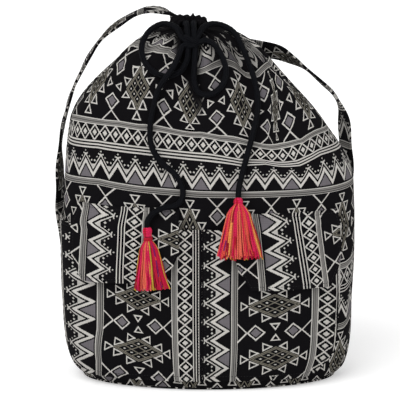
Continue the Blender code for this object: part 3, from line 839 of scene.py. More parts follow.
def carried_frames(path: Array) -> tuple[Array, Array]:
    """Directions that run along a path without twisting.

    Args:
        path: the path's points.

    Returns:
        Sideways and upward direction at each point.
    """
    heading = unit(np.gradient(path, axis=0))
    side = np.cross(heading[0], (0.0, 1.0, 0.3))
    sides = []
    for way in heading:
        side = unit(side - way * np.dot(side, way))
        sides.append(side)
    return np.array(sides), np.cross(heading, sides)


def tube_mesh(name: str, path: Array, radius: Callable[[Array, Array], Array], around: int) -> Mesh:
    """A closed tube along a path.

    Args:
        name: the mesh's name.
        path: its middle line.
        radius: gives the radius from the turn around, 0 to 1, and the length along.
        around: corners around it.

    Returns:
        The mesh, with a map of around, 0 to 1, and along, in metres.
    """
    sideways, upward = (ways[:, None, :] for ways in carried_frames(path))
    turn, lengths = np.meshgrid(np.arange(around) / around, walked(path))
    angle = (TURN * turn)[..., None]
    ring = path[:, None, :] + (sideways * np.cos(angle) + upward * np.sin(angle)) * radius(turn, lengths)[..., None]
    points = np.concatenate([ring.reshape(-1, 3), path[:1], path[-1:]])
    maps = np.concatenate([np.stack([turn, lengths], axis=2).reshape(-1, 2), [[0.5, 0.0]], [[0.5, lengths[-1, 0]]]])
    count = ring.shape[0] * around
    start = np.arange(around)
    caps = [
        np.stack([np.full(around, middle), np.roll(loop, -1), loop], axis=1)
        for middle, loop in ((count, start), (count + 1, start[::-1] + count - around))
    ]
    return mesh_from(name, points, maps, grid_faces(len(path), around, closed=True), *caps)


def grown_mesh(
    name: str, tree: Tree, values: dict[str, object], base: Mesh | None = None
) -> Mesh:
    """Run a geometry tree once and keep its result as a plain mesh.

    Args:
        name: the mesh's name.
        tree: the geometry tree.
        values: its inputs by name.
        base: the mesh that it starts from, if any.

    Returns:
        The plain mesh.
    """
    holder = placed(name + "_maker", base or bpy.data.meshes.new(name + "_start"))
    grower = holder.modifiers.new("grow", "NODES")
    grower.node_group = tree
    for item in tree.interface.items_tree:
        if item.item_type == "SOCKET" and item.in_out == "INPUT" and item.name in values:
            grower[item.identifier] = values[item.name]
    bpy.context.view_layer.update()
    shown = holder.evaluated_get(bpy.context.evaluated_depsgraph_get())
    mesh = bpy.data.meshes.new_from_object(shown)
    mesh.name = name
    holder.modifiers.remove(grower)
    bpy.data.objects.remove(holder)
    return mesh


def build_stitch_tree() -> Tree:
    """Short stitches at an even pitch along a line of edges, with inputs for pitch, length and thickness."""
    takes = {"Geometry": "Geometry", "Pitch": "Float", "Length": "Float", "Thread": "Float", "Finish": "Material"}
    bench, take, leave = start_group("stitch_row", takes, {"Geometry": "Geometry"}, "GeometryNodeTree")
    line = bench.put("GeometryNodeMeshToCurve", {0: take["Geometry"]})
    even = bench.put("GeometryNodeResampleCurve", {"Curve": line, "Length": take["Pitch"]}, mode="LENGTH")
    bead = bench.put("GeometryNodeMeshUVSphere", {"Segments": 6, "Rings": 5, "Radius": 1.0})
    tangent = bench.put("GeometryNodeInputTangent")
    turn = bench.put("FunctionNodeAlignRotationToVector", {"Vector": tangent}, axis="X")
    size = bench.join(take["Length"] * 0.5, take["Thread"], take["Thread"])
    laid = {"Points": even, "Instance": bead, "Rotation": turn, "Scale": size}
    return bench.end_mesh(leave, bench.put("GeometryNodeInstanceOnPoints", laid), take["Finish"])


def inset_loop(outer: Array, rows: int, columns: int) -> Array:
    """The places of a grid's border, taken in from its edges.

    Args:
        outer: the grid's places.
        rows: rows to leave at each end.
        columns: columns to leave at each end.

    Returns:
        The closed line, its first place again at its end.
    """
    inside = outer[rows:-rows, columns:-columns]
    line = inside.reshape(-1, 3)[border_loop(*inside.shape[:2])]
    return np.concatenate([line, line[:1]])


def sew(mesh: Mesh, lines: Sequence[Array], finishes: Finishes) -> None:
    """Add rows of stitches to a cloth mesh, on its second material.

    Args:
        mesh: the cloth.
        lines: the lines to sew along.
        finishes: hold the tree that lays the stitches, and the thread.
    """
    guide = bpy.data.meshes.new("seam_guide")
    starts = np.cumsum([0] + [len(line) for line in lines]).tolist()
    edges = [(k, k + 1) for first, after in zip(starts, starts[1:]) for k in range(first, after - 1)]
    guide.from_pydata(np.concatenate(lines).tolist(), edges, [])
    values = {"Pitch": 0.0034, "Length": 0.0024, "Thread": 0.00028, "Finish": finishes.thread}
    stitches = grown_mesh("stitches", finishes.stitches, values, guide)
    with reshaped(mesh) as shape:
        cloth_faces = len(shape.faces)
        shape.from_mesh(stitches)
        shape.faces.ensure_lookup_table()
        for face in shape.faces[cloth_faces:]:
            face.material_index = 1


# The bag's form, as in the part's source


@dataclass(frozen=True)
class BagForm:
    """The bag's outside as a smooth surface over an angle and a height.

    A row of the profile gives a share of the height, the shares of width and depth there, how much of the
    mouth's shift it takes and how square it is. A row of the folds gives the fold's angle at its top and at
    its foot, in degrees, its strength, and the share of the height where it starts.
    """

    height: float = 0.404
    width: float = 0.328
    depth: float = 0.176
    cloth: float = 0.0015
    floor: float = 0.0028
    mouth_shift: float = -0.0225
    neck: float = 0.0195
    closing: float = 0.978
    fold_depth: float = 0.015
    fold_width_deg: float = 12.0
    droop: float = 0.016
    pleat_depth: float = 0.0016
    pleats: int = 14

    profile: tuple[tuple[float, ...], ...] = (
        (0.000, 0.870, 0.910, 0.00, 2.00), (0.022, 0.925, 0.960, 0.00, 2.10),
        (0.045, 0.950, 0.985, 0.00, 2.20), (0.100, 0.975, 1.000, 0.00, 2.40),
        (0.210, 0.990, 1.000, 0.00, 2.55), (0.350, 1.000, 0.995, 0.00, 2.60),
        (0.500, 1.000, 0.975, 0.00, 2.60), (0.560, 0.994, 0.958, 0.00, 2.55),
        (0.614, 0.973, 0.935, 0.13, 2.50), (0.656, 0.938, 0.905, 0.32, 2.45),
        (0.700, 0.896, 0.872, 0.53, 2.40), (0.745, 0.851, 0.836, 0.71, 2.35),
        (0.787, 0.783, 0.797, 0.82, 2.30), (0.832, 0.693, 0.740, 0.86, 2.25),
        (0.874, 0.603, 0.675, 0.84, 2.20), (0.908, 0.533, 0.605, 0.81, 2.15),
        (0.936, 0.454, 0.530, 0.80, 2.10), (0.960, 0.360, 0.445, 0.82, 2.05),
        (0.976, 0.288, 0.370, 0.86, 2.00), (0.990, 0.225, 0.305, 0.93, 2.00),
        (1.000, 0.180, 0.260, 1.00, 2.00),
    )
    folds: tuple[tuple[float, ...], ...] = (
        (3.0, 0.0, 0.95, 0.80), (49.0, 30.0, 1.00, 0.71), (93.0, 82.0, 0.70, 0.80), (132.0, 125.0, 0.80, 0.76),
        (222.0, 235.0, 0.85, 0.78), (262.0, 272.0, 0.50, 0.82), (-48.0, -40.0, 0.35, 0.86),
    )

    @cached_property
    def table(self) -> tuple[Array, Array]:
        """The profile read finely on a curve that never overshoots."""
        stations = np.array(self.profile, float)
        places = stations[:, 0]
        gaps = np.diff(places)
        rises = np.diff(stations[:, 1:], axis=0) / gaps[:, None]
        slopes = np.vstack([rises[:1], (rises[:-1] + rises[1:]) / 2, rises[-1:]])
        slopes[1:-1][rises[:-1] * rises[1:] <= 0] = 0.0
        at = np.linspace(0.0, 1.0, 4001)
        k = np.clip(np.searchsorted(places, at, side="right") - 1, 0, len(gaps) - 1)
        t = ((at - places[k]) / gaps[k])[:, None]
        bend = slopes[k] * (t - 2 * t**2 + t**3) + slopes[k + 1] * (t**3 - t**2)
        value = stations[k, 1:] * (1 - 3 * t**2 + 2 * t**3) + stations[k + 1, 1:] * (3 * t**2 - 2 * t**3)
        return at, value + bend * gaps[k][:, None]

    def fold_masks(self, turn: Array, share: Array) -> tuple[Array, Array]:
        """How deep in the folds a place lies.

        Args:
            turn: angle from the front's middle, in radians.
            share: share of the height.

        Returns:
            The share of the fold depth, and of the droop.
        """
        deep = np.zeros(np.broadcast(turn, share).shape)
        droop = np.zeros_like(deep)
        open_share = 1.0 - glide(share, 0.950, 1.0)
        for top_deg, foot_deg, strength, foot in self.folds:
            middle = foot_deg + (top_deg - foot_deg) * glide(share, foot - 0.03, 0.97)
            away = (np.degrees(turn) - middle + 180.0) % 360.0 - 180.0
            wide = self.fold_width_deg * (1.25 - 0.35 * glide(share, foot, 1.0))
            valley = strength * bump(away, 0.0, wide)
            deep += valley * glide(share, foot - 0.04, foot + 0.14)
            droop += valley * glide(share, foot - 0.16, foot + 0.02) * open_share
        return deep * (0.12 + 0.88 * open_share), droop

    def point(self, turn: Array, height: Array, folded: Array | float = 0.0) -> Array:
        """Places on the bag's outside.

        Args:
            turn: angles from the front's middle, in radians.
            height: heights above the base panel, in metres.
            folded: further depth taken inwards, towards the bag's axis.

        Returns:
            The places, with a last axis of three.
        """
        turn, height = np.broadcast_arrays(np.asarray(turn, float), np.asarray(height, float))
        share = height / self.height
        deep, droop = self.fold_masks(turn, share)
        actual = share - droop * self.droop / self.height
        at, values = self.table
        width, depth, lean, square = (np.interp(actual, at, column) for column in values.T)
        closing = glide(share, self.closing, 1.0)
        half_width = width * self.width / 2 * (1 - closing) + self.neck * closing
        half_depth = depth * self.depth / 2 * (1 - closing) + self.neck * closing
        across = np.sin(turn)
        fore = np.cos(turn)
        swell = (np.abs(across) ** square + np.abs(fore) ** square) ** (-1.0 / square)
        pleat = self.pleat_depth * glide(share, 0.86, 0.97) * np.cos(self.pleats * turn)
        x = half_width * across * swell
        y = -half_depth * fore * swell
        reach = 1.0 - (self.fold_depth * deep + pleat + folded) / np.hypot(x, y)
        z = self.floor + actual * self.height
        return np.stack([lean * self.mouth_shift + x * reach, y * reach, z], axis=-1)

    def normal(self, turn: Array, height: Array) -> Array:
        """Outward directions at places on the bag.

        Args:
            turn: angles from the front's middle, in radians.
            height: heights above the base panel, in metres.

        Returns:
            Unit directions.
        """
        low = np.clip(height - 0.0005, 0.0, self.height - 0.001)
        around = self.point(turn + 0.004, height) - self.point(turn - 0.004, height)
        return unit(np.cross(around, self.point(turn, low + 0.001) - self.point(turn, low)))

    @cached_property
    def girths(self) -> tuple[Array, Array]:
        """Angles, and the girth walked from the front's middle to each, at a third of the height."""
        turns = np.linspace(-math.pi, math.pi, 1441)
        lengths = walked(self.point(turns, np.full_like(turns, 0.3 * self.height)))
        return turns, lengths - np.interp(0.0, turns, lengths)

    def turn_at(self, girth: Array | float) -> Array:
        """The angle at a length of cloth along the girth."""
        turns, girths = self.girths
        return np.interp(girth, girths, turns)


FORM = BagForm()
HEM_CLOTH = 0.0012
CORD_WIDTH = 0.006
# The cord's ring in the hem: the neck less the pleats, the seam, the hem's cloth, half the cord and a gap
CORD_RING = FORM.neck - FORM.pleat_depth - 0.0018 - HEM_CLOTH - CORD_WIDTH / 2 - 0.0007


def ruffle_depth(turn: Array, share: Array) -> Array:
    """The gathers near the mouth: uneven pleats that fade down the bag.

    Args:
        turn: angle from the front's middle.
        share: share of the height.

    Returns:
        Depth taken inwards, in metres.
    """
    warped = turn + 0.16 * np.sin(3.0 * turn + 1.0) + 0.09 * np.sin(7.0 * turn + 2.1)
    coarse, fine, slow = (0.5 + 0.5 * np.cos(count * warped + start) for count, start in ((11, 0), (23, 0.8), (6, 2)))
    reach = glide(share, 0.80, 0.965) * (1.0 - 0.75 * glide(share, 0.965, 1.0))
    near = glide(share, 0.88, 0.975) * (1.0 - 0.6 * glide(share, 0.975, 1.0))
    far = glide(share, 0.62, 0.86) * (1.0 - glide(share, 0.90, 1.0))
    return 0.0054 * reach * coarse**2 + 0.0028 * near * fine**2 + 0.0026 * far * slow**3


def mouth_sink(turn: Array | float) -> Array | float:
    """How far the mouth has settled below the CAD model's, nearly level, in metres."""
    return 0.0030 + 0.0001 * np.sin(turn)


def billow(turn: Array, height: Array) -> Array:
    """Soft unevenness of standing cloth: broad hollows, a few slanting creases and a ruffled foot.

    Args:
        turn: angle from the front's middle.
        height: height above the base.

    Returns:
        Depth taken inwards, in metres.
    """
    along = turn * 0.16
    broad = 0.0009 * np.sin(along * 46 + height * 21 + 0.7) * np.sin(height * 33 - along * 12 + 1.9)
    crease = np.sin(along * 70 - height * 88 + 2.2 * np.sin(height * 17 + along * 20))
    fine = 0.0005 * np.clip(crease, 0.2, 1.0) * np.sin(height * 24 + 0.6)
    foot = 0.0008 * bump(height, 0.018, 0.012) * np.sin(turn * 9.0 + np.sin(turn * 4.0))
    return (broad + fine) * glide(height, 0.0, 0.05) * (1.0 - glide(height, 0.34, 0.40)) + foot


@dataclass(frozen=True)
class ClothLay:
    """How the cloth lies on a panel: where along x its first star stands, and where the bands' lines run.

    Each line is a length of cloth above the lowest stripe's top, with the share of the height that the line
    has at a few angles from the front's middle, in degrees. The tuck is cloth that a fold on the right
    swallows, and its line gives the fold's angle at a few shares of the height.
    """

    star_x: float = -0.0216
    gather: float = 1.04
    below: float = 408.0
    last: float = 34.0
    plain_from: float = 0.984

    lines: tuple[tuple[float, Line], ...] = (
        (0.0, ((-74.0, 0.581), (-45.0, 0.589), (-27.0, 0.577), (-4.0, 0.565), (14.0, 0.563), (66.0, 0.565))),
        (36.1, (
            (-70.0, 0.667), (-46.0, 0.673), (-26.0, 0.665), (-1.0, 0.649), (15.0, 0.641), (25.0, 0.661),
            (39.0, 0.642), (54.0, 0.651), (71.0, 0.651),
        )),
        (71.0, (
            (-77.0, 0.753), (-36.0, 0.757), (-26.0, 0.750), (2.0, 0.757), (10.0, 0.738), (28.0, 0.731),
            (37.0, 0.725), (48.0, 0.708), (79.0, 0.725),
        )),
        (92.0, (
            (-78.0, 0.806), (-47.0, 0.815), (-15.0, 0.811), (11.0, 0.790), (35.0, 0.773), (48.0, 0.760),
            (79.0, 0.772),
        )),
        (134.5, ((-66.0, 0.894), (-18.0, 0.888), (12.0, 0.868), (52.0, 0.850), (79.0, 0.855))),
        (163.0, (
            (-77.0, 0.954), (-39.0, 0.963), (-19.0, 0.938), (10.0, 0.924), (29.0, 0.920), (42.0, 0.927),
            (54.0, 0.902), (79.0, 0.900),
        )),
    )
    tuck: float = 36.0
    tuck_line: Line = ((0.70, 33.0), (0.765, 39.5), (0.81, 48.0), (0.85, 57.0), (0.90, 64.0))

    def down(self, share: Array, turn: Array) -> Array:
        """Cloth length down from the lowest stripe's top, in millimetres.

        Args:
            share: share of the height.
            turn: angle from the front's middle, in radians.

        Returns:
            The cloth coordinate across the bands.
        """
        angle = np.degrees(turn)
        marks = [np.interp(angle, *zip(*line)) for _, line in self.lines]
        lengths = [length for length, _ in self.lines]
        slack = self.below * (1.0 + 0.08 * glide(angle, 62.0, 78.0) * (1.0 - glide(angle, 110.0, 200.0)))
        risen = -np.clip(marks[0] - share, 0.0, None) * slack
        marks.append(np.full_like(marks[0], self.plain_from))
        lengths.append(lengths[-1] + self.last)
        for low, high, start, stop in zip(marks, marks[1:], lengths, lengths[1:]):
            risen = risen + (stop - start) * np.clip((share - low) / (high - low), 0.0, 1.0)
        return -risen

    def slid(self, x: Array, down: Array) -> Array:
        """How far along the lower bands lie from the upper stars' lines, with a small gather behind the cord.

        Args:
            x: places across the bag, in metres.
            down: the cloth coordinate across the bands.

        Returns:
            The slide along the bands, in millimetres.
        """
        stars = 5.0 * (1.0 - glide(x, -0.120, -0.075)) + 3.5 * glide(x, 0.050, 0.130)
        zigzag = 8.2 * glide(x, -0.062, -0.028)
        chain = -6.8 + 4.9 * glide(x, -0.080, -0.055)
        slide = stars + (zigzag - stars) * glide(-down, -6.0, -1.0)
        slide = slide + (chain - zigzag) * glide(-down, 37.0, 43.0)
        return slide - chain * glide(-down, 64.0, 70.0)

    def tucked(self, share: Array, turn: Array, down: Array) -> Array:
        """Cloth that the fold on the right swallows from the upper plain stripe on, in millimetres."""
        middle = np.interp(share, *zip(*self.tuck_line))
        return self.tuck * glide(np.degrees(turn), middle - 4.5, middle + 4.5) * glide(-down, 64.5, 70.0)


# Sub-assemblies


@dataclass
class BodyShell:
    """The bag's front and back panels, sewn at the sides, and its oval base."""

    finishes: Finishes
    columns: int = 230
    rows: int = 190
    side_gap: float = 0.00015
    base_thickness: float = 0.0025
    front_lay: ClothLay = ClothLay()
    back_lay: ClothLay = ClothLay(tuck=0.0)

    def heights(self) -> Array:
        """Heights of the rows, closer together towards the mouth and the base."""
        share = np.linspace(0.0, 1.0, self.rows)
        share = share - 0.17 * np.sin(TURN * share) / TURN
        return np.clip(share + 0.10 * np.sin(math.pi * share) * share, 0.0, 1.0) * FORM.height

    def panel(self, name: str, middle: float, lay: ClothLay) -> Piece:
        """One panel from side seam to side seam.

        Args:
            name: the node that it replaces.
            middle: the angle of its middle.
            lay: how the cloth lies on it.

        Returns:
            The piece.
        """
        around = middle + math.pi * (np.linspace(0.0, 1.0, self.columns + 1) - 0.5)
        turn, height = np.meshgrid(around, self.heights())
        seam = np.abs(np.abs(turn - middle) - math.pi / 2) * FORM.width / 2
        folded = ruffle_depth(turn, height / FORM.height) + billow(turn, height) + 0.0011 * bump(seam, 0.0, 0.004)
        outer = FORM.point(turn, height, folded)
        outer[..., 2] -= mouth_sink(turn) * glide(height / FORM.height, 0.97, 1.0)
        inner = outer - self.grid_normal(outer) * FORM.cloth
        for grid in (outer, inner):
            grid[:, [0, -1], 1] = -math.cos(middle) * self.side_gap
        inner[[0, -1], :, 2] = outer[[0, -1], :, 2]
        mesh = shell_mesh(name, outer, inner, self.cloth_map(outer, turn, height, lay))
        # Painted shade in the deepest gathers, where the print fades to black
        self.paint_gather_shade(mesh)
        return finished(name + "_cloth", mesh, [name], "printed_cloth", self.finishes.printed)

    @staticmethod
    def paint_gather_shade(mesh: Mesh) -> None:
        """Paint shade into the deepest gathers, under the knot, beside it and at the mouth, where the print fades to
        black.

        Args:
            mesh: the panel, which gets the mark as an attribute.
        """
        places = np.zeros(len(mesh.vertices) * 3, np.float32)
        mesh.vertices.foreach_get("co", places)
        x, y, z = places.reshape(-1, 3).T * MM
        middle = np.interp(z, (290.0, 330.0, 370.0), (-9.0, -12.0, -24.0))
        half = np.interp(z, (290.0, 330.0, 360.0, 385.0), (1.0, 6.0, 9.0, 17.0))
        under = (1.0 - glide(np.abs(x - middle), half * 0.6, half * 1.3)) * glide(z, 296.0, 335.0) * (y < 0.0)
        beside = glide(x, -6.0, 4.0) * (1.0 - glide(x, 58.0, 88.0)) * glide(z, 338.0, 382.0) * (y < 0.0)
        # Painted shade: under the knot, beside it under the tail cord, and at the mouth
        deep = np.maximum(under, np.maximum(0.58 * beside, 0.72 * glide(z, 386.0, 403.0)))
        mark = mesh.attributes.new(PAINTED_FOLD_SHADE, "FLOAT", "POINT")
        mark.data.foreach_set("value", deep.astype(np.float32))

    @staticmethod
    def grid_normal(places: Array) -> Array:
        """Outward directions of a grid whose columns run to the right and rows run up."""
        return unit(np.cross(np.gradient(places, axis=1), np.gradient(places, axis=0)))

    def cloth_map(self, places: Array, turn: Array, height: Array, lay: ClothLay) -> Array:
        """Cloth coordinates: true lengths along each row from the first star's line, packed tight at the mouth.

        Args:
            places: the panel's grid.
            turn: its angles from the front's middle.
            height: its heights.
            lay: how the cloth lies on it.

        Returns:
            Along and down the bands, in millimetres.
        """
        steps = np.linalg.norm(np.diff(places, axis=1), axis=2) * MM
        run = np.concatenate([np.zeros((len(places), 1)), np.cumsum(steps, axis=1)], axis=1)
        plain = FORM.point(turn, height)[..., 0]
        star = []
        for xs, lengths in zip(plain, run):
            order = slice(None, None, 1 if xs[-1] > xs[0] else -1)
            star.append(np.interp(lay.star_x, xs[order], lengths[order]))
        true = run - np.array(star)[:, None]
        share = height / FORM.height
        packed = 0.3 * glide(share, 0.93, 1.0)
        across = true * (1 - packed) + true[int(self.rows * 0.3)][None, :] * packed
        down = lay.down(share, turn)
        along = (across + lay.tucked(share, turn, down)) * lay.gather + lay.slid(plain, down)
        return np.stack([along, down], axis=2)

    def base(self) -> Piece:
        """The oval base panel, raised and a little thinner at its rim."""
        turns = np.linspace(0.0, TURN, 161)[:-1]
        rings = np.array([0.0, 0.08, 0.25, 0.5, 0.75, 0.9, 0.965, 0.99, 0.997])
        places = FORM.point(turns, np.zeros_like(turns))[None] * rings[:, None, None]
        drop = (0.0009 * glide(rings, 0.97, 1.0))[:, None]
        under, top = places.copy(), places.copy()
        under[..., 2] = drop
        top[..., 2] = self.base_thickness - drop * 0.3
        mesh = shell_mesh("base_panel", under, top, places[..., :2] * MM, closed=True)
        with reshaped(mesh) as shape:
            bmesh.ops.remove_doubles(shape, verts=shape.verts[:], dist=1e-6)
            bmesh.ops.delete(shape, geom=[e for e in shape.edges if e.is_wire], context="EDGES")
            bmesh.ops.recalc_face_normals(shape, faces=shape.faces)
        return finished("base_panel_cloth", mesh, ["base_panel"], "printed_cloth", self.finishes.printed)

    def build(self) -> list[Piece]:
        """Make and place the body's pieces."""
        front = self.panel("body_front", 0.0, self.front_lay)
        return [front, self.panel("body_back", math.pi, self.back_lay), self.base()]


@dataclass
class MouthHem:
    """The gathered hem around the mouth, folded over the cord and pinched into small pleats."""

    finishes: Finishes
    height: float = 0.0078
    slot_deg: float = 66.0
    steps: int = 420
    pleat_swell: float = 0.0011
    cord_room: float = 0.0037
    map_gather: float = 2.2

    def build(self) -> list[Piece]:
        """Make and place the hem."""
        half = math.radians(self.slot_deg / 2)
        turn = np.linspace(half, TURN - half, self.steps + 1)
        foot = FORM.point(turn, np.full_like(turn, FORM.height))
        middle = np.array([FORM.mouth_shift, 0.0])
        away = foot[:, :2] - middle
        radius = np.linalg.norm(away, axis=1)
        low = foot[:, 2] + 0.0003 - mouth_sink(turn)
        warped = turn + 0.12 * np.sin(3 * turn) + 0.07 * np.sin(8 * turn + 1.0)
        pleat = np.cos(19 * warped) + 0.5 * np.sin(11 * warped + 0.7)
        rise = 0.0008 * np.sin(5 * turn + 0.4) + 0.0010 * np.cos(19 * warped + 0.9) - 0.0005 * np.cos(turn)
        top = low + self.height + rise
        under = low + self.height - HEM_CLOTH * 1.6
        inner = np.full_like(radius, CORD_RING - self.cord_room)
        hole = inner - HEM_CLOTH
        section = (
            (radius, low, 0.4),
            (radius + 0.0008, low + self.height * 0.30, 0.8),
            (radius + 0.0010, low + self.height * 0.60, 1.0),
            (radius - 0.0004, top - 0.0018, 1.1),
            (radius - 0.0026, top - 0.0003, 1.1),
            ((radius + hole) / 2, top - 0.0006, 0.8),
            (hole + 0.0012, top - 0.0008, 0.5),
            (hole, top - 0.0030, 0.3),
            (hole, low, 0.2),
            (inner, low, 0.2),
            (inner, under, 0.2),
            (radius - 0.0042, under, 0.5),
            (radius - HEM_CLOTH - 0.0006, low + self.height * 0.5, 0.5),
            (radius - HEM_CLOTH, low, 0.4),
        )
        swell = self.pleat_swell * pleat
        places = np.stack(
            [np.column_stack([middle + unit(away) * (out + swell * share)[:, None], z]) for out, z, share in section],
            axis=1,
        )
        count, around = places.shape[:2]
        down, along = np.meshgrid(np.arange(around) * 2.0, walked(places[:, 2]) * MM * self.map_gather)
        cap = np.arange(around)[None]
        faces = (grid_faces(count, around, closed=True), cap, cap[:, ::-1] + (count - 1) * around)
        mesh = mesh_from("mouth_hem", places.reshape(-1, 3), np.stack([along, down], axis=2).reshape(-1, 2), *faces)
        with reshaped(mesh) as shape:
            bmesh.ops.triangulate(shape, faces=[f for f in shape.faces if len(f.verts) > 4])
        return [finished("mouth_hem_cloth", mesh, ["mouth_casing"], "hem_cloth", self.finishes.hem)]


# Girth place and cloth length across the bands, in millimetres, from the front's middle line

LEFT_POCKET_BANDS = (
    (-203.0, -45.0), (-170.0, -27.0), (-162.0, -21.1), (-135.0, -4.3), (-131.2, 0.0), (-122.7, 7.5),
    (-100.4, 28.55), (-81.0, 49.75), (-60.7, 70.95), (-41.8, 92.0), (-35.1, 99.5), (-19.0, 117.5),
    (-10.5, 127.4), (-8.0, 130.0),
)
RIGHT_POCKET_BANDS = (
    (-8.0, -32.5), (-4.6, -28.6), (1.9, -23.0), (25.0, 0.0), (32.5, 7.5), (52.6, 28.55), (75.1, 49.75),
    (95.2, 70.95), (117.0, 92.0), (125.4, 99.5), (149.7, 117.5), (156.0, 123.0),
)
LEFT_FLAP_BANDS = (
    (-154.0, 183.5), (-131.8, 163.0), (-99.8, 127.4), (-90.8, 117.5), (-73.6, 99.5), (-67.5, 92.0),
    (-56.4, 78.95), (-33.0, 54.7),
)
RIGHT_FLAP_BANDS = (
    (28.0, 190.5), (55.5, 163.0), (93.6, 127.4), (104.5, 117.5), (120.8, 99.5), (126.8, 92.0), (149.0, 69.8),
)


@dataclass
class FrontPocket:
    """A patch pocket with its bands upright, and the flap over it.

    Girth means cloth length around the bag from the front's middle, and height is above the base panel. A
    flap's seat is the girth of its middle and the height of its sewn edge.
    """

    side: Side
    finishes: Finishes
    columns: int = 150
    rows: int = 120
    flap_columns: int = 110
    flap_rows: int = 84

    bottom: float = 0.010
    height: float = 0.175
    seam: float = -0.008
    seam_gap: float = 0.00015
    left_width: float = 0.189
    right_width: float = 0.162
    corner: float = 0.034
    fullness: float = 0.010
    seat: float = 0.0012
    left_flap_seat: tuple[float, float] = (-0.0935, 0.209)
    right_flap_seat: tuple[float, float] = (0.0885, 0.202)
    flap_height: float = 0.084
    flap_width: float = 0.120
    flap_cut: float = 0.018
    flap_cut_height: float = 0.036
    turned_in: float = 0.0006
    stitch_width: float = 0.0011

    @property
    def mouth(self) -> float:
        """Height of the pocket's open edge."""
        return self.bottom + self.height

    @property
    def span(self) -> tuple[float, float]:
        """Girth places of the inner and outer edges."""
        if self.side is Side.LEFT:
            return self.seam - self.seam_gap, self.seam - self.left_width
        return self.seam + self.seam_gap, self.seam + self.right_width

    @property
    def flap_seat(self) -> tuple[float, float]:
        """Girth place of the flap's middle, and height of its sewn edge."""
        return self.left_flap_seat if self.side is Side.LEFT else self.right_flap_seat

    def floor(self, girth: Array) -> Array:
        """Height of the lower edge, which rounds up into the outer corner."""
        into = np.clip(self.corner - np.abs(self.span[1] - girth), 0.0, self.corner)
        return self.bottom + self.corner - np.sqrt(np.clip(self.corner**2 - into**2, 0.0, None))

    def lift(self, girth: Array, height: Array) -> Array:
        """How far the pocket's inner face stands off the body.

        Args:
            girth: places along the girth.
            height: heights above the base panel.

        Returns:
            The distances, in metres.
        """
        inner, outer = self.span
        share = np.clip((girth - inner) / (outer - inner), 0.0, 1.0)
        low = self.floor(girth)
        rise = np.clip((height - low) / (self.mouth - low), 0.0, 1.0)
        return self.seat + self.fullness * (4.0 * share * (1.0 - share)) ** 0.9 * (1.0 - (1.0 - rise) ** 2.2)

    def cloth_place(self, girth: Array, height: Array) -> Array:
        """Cloth coordinates on the pocket, whose bands stand upright.

        Args:
            girth: places along the girth.
            height: heights above the base panel.

        Returns:
            Along and down the bands, in millimetres.
        """
        g, z = girth * MM, (height + FORM.floor) * MM
        if self.side is Side.LEFT:
            lean = np.interp(z, (10.0, 20.0, 31.0, 69.0, 115.0, 188.0), (-20.0, -12.0, -6.5, 2.6, 7.2, 11.0))
            down = np.interp(g - lean * glide(-g, 60.0, 122.0), *zip(*LEFT_POCKET_BANDS))
            along = (z - 48.2) * 1.036 + np.interp(g, (-203.0, -115.0, -105.0, 0.0), (5.2, -3.7, -2.95, 9.44)) - 64.0
            return self.chained(along, (z - 43.6) * 0.969, down)
        down = np.interp(g + 0.07 * (z - 69.0) * glide(g, 30.0, 75.0), *zip(*RIGHT_POCKET_BANDS))
        chain = (z - 36.4) * 0.983 - 0.03 * (g - 75.0) + 0.2 * np.clip(g - 118.0, 0.0, None)
        along = np.where(g < 28.5, (z - 40.8) * 0.983, (z - 39.35) * 1.03) - 0.03 * (g - 75.0) - 64.0
        return self.chained(along, chain, down)

    @staticmethod
    def chained(along: Array, chain: Array, down: Array) -> Array:
        """Cloth coordinates with the chain band's own lengths between the stripe and the triple line."""
        return np.stack(np.broadcast_arrays(np.where(np.abs(down - 109.1) < 13.4, chain, along), down), axis=-1)

    def flap_place(self, girth: Array, height: Array) -> Array:
        """Cloth coordinates on the flap, whose bands stand upright the other way.

        Args:
            girth: places along the girth.
            height: heights above the base panel.

        Returns:
            Along and down the bands, in millimetres.
        """
        g, z = girth * MM, (height + FORM.floor) * MM
        if self.side is Side.LEFT:
            lean = 0.012 * (z - 168.0) * glide(g, -138.0, -110.0)
            lean = lean - 0.3 * np.clip(z - 185.0, 0.0, None) * glide(-g, 105.0, 125.0)
            along = (z - 183.7 + 0.06 * (g + 129.0)) * 1.088
            return self.chained(along, 64.0 + along, np.interp(g - lean, *zip(*LEFT_FLAP_BANDS)))
        lean = 0.085 * (z - 198.0) * (1.0 - 0.7 * glide(g, 100.0, 127.0))
        bend = np.interp(z, (125.0, 165.0, 190.0, 203.0, 212.0), (0.0, 2.5, 5.0, 1.5, -2.5))
        lean = lean + glide(g, 80.0, 105.0) * bend
        along = (z - 175.8 - 0.03 * (g - 62.0)) * 1.038
        return self.chained(along, 64.0 + along, np.interp(g + lean, *zip(*RIGHT_FLAP_BANDS)))

    def edge_distances(self, girth: Array, height: Array) -> tuple[Array, Array, Array]:
        """Distances from the pocket's side seams, its bottom seam and its mouth."""
        side = np.minimum(*(np.abs(girth - edge) for edge in self.span))
        return side, height - self.floor(girth), self.mouth - height

    def slack(self, girth: Array, height: Array) -> Array:
        """Soft sag of the pocket's cloth and the puckers along its seams.

        Args:
            girth: places along the girth.
            height: heights above the base panel.

        Returns:
            How far the cloth stands further off, in metres.
        """
        side, low, top = self.edge_distances(girth, height)
        edge = np.minimum(side, low)
        pucker = 0.00035 * np.exp(-edge / 0.006) * np.sin((girth + height) * TURN / 0.009)
        wave = 0.0011 * np.sin(girth * 52 + 0.6) * np.sin(height * 31 + 1.1) * glide(edge, 0.0, 0.03)
        sag = 0.0014 * bump(top, 0.02, 0.03) * np.sin(girth * 70 + 1.0) * glide(side, 0.0, 0.03)
        return np.maximum(pucker + wave + sag, -self.seat * 0.4)

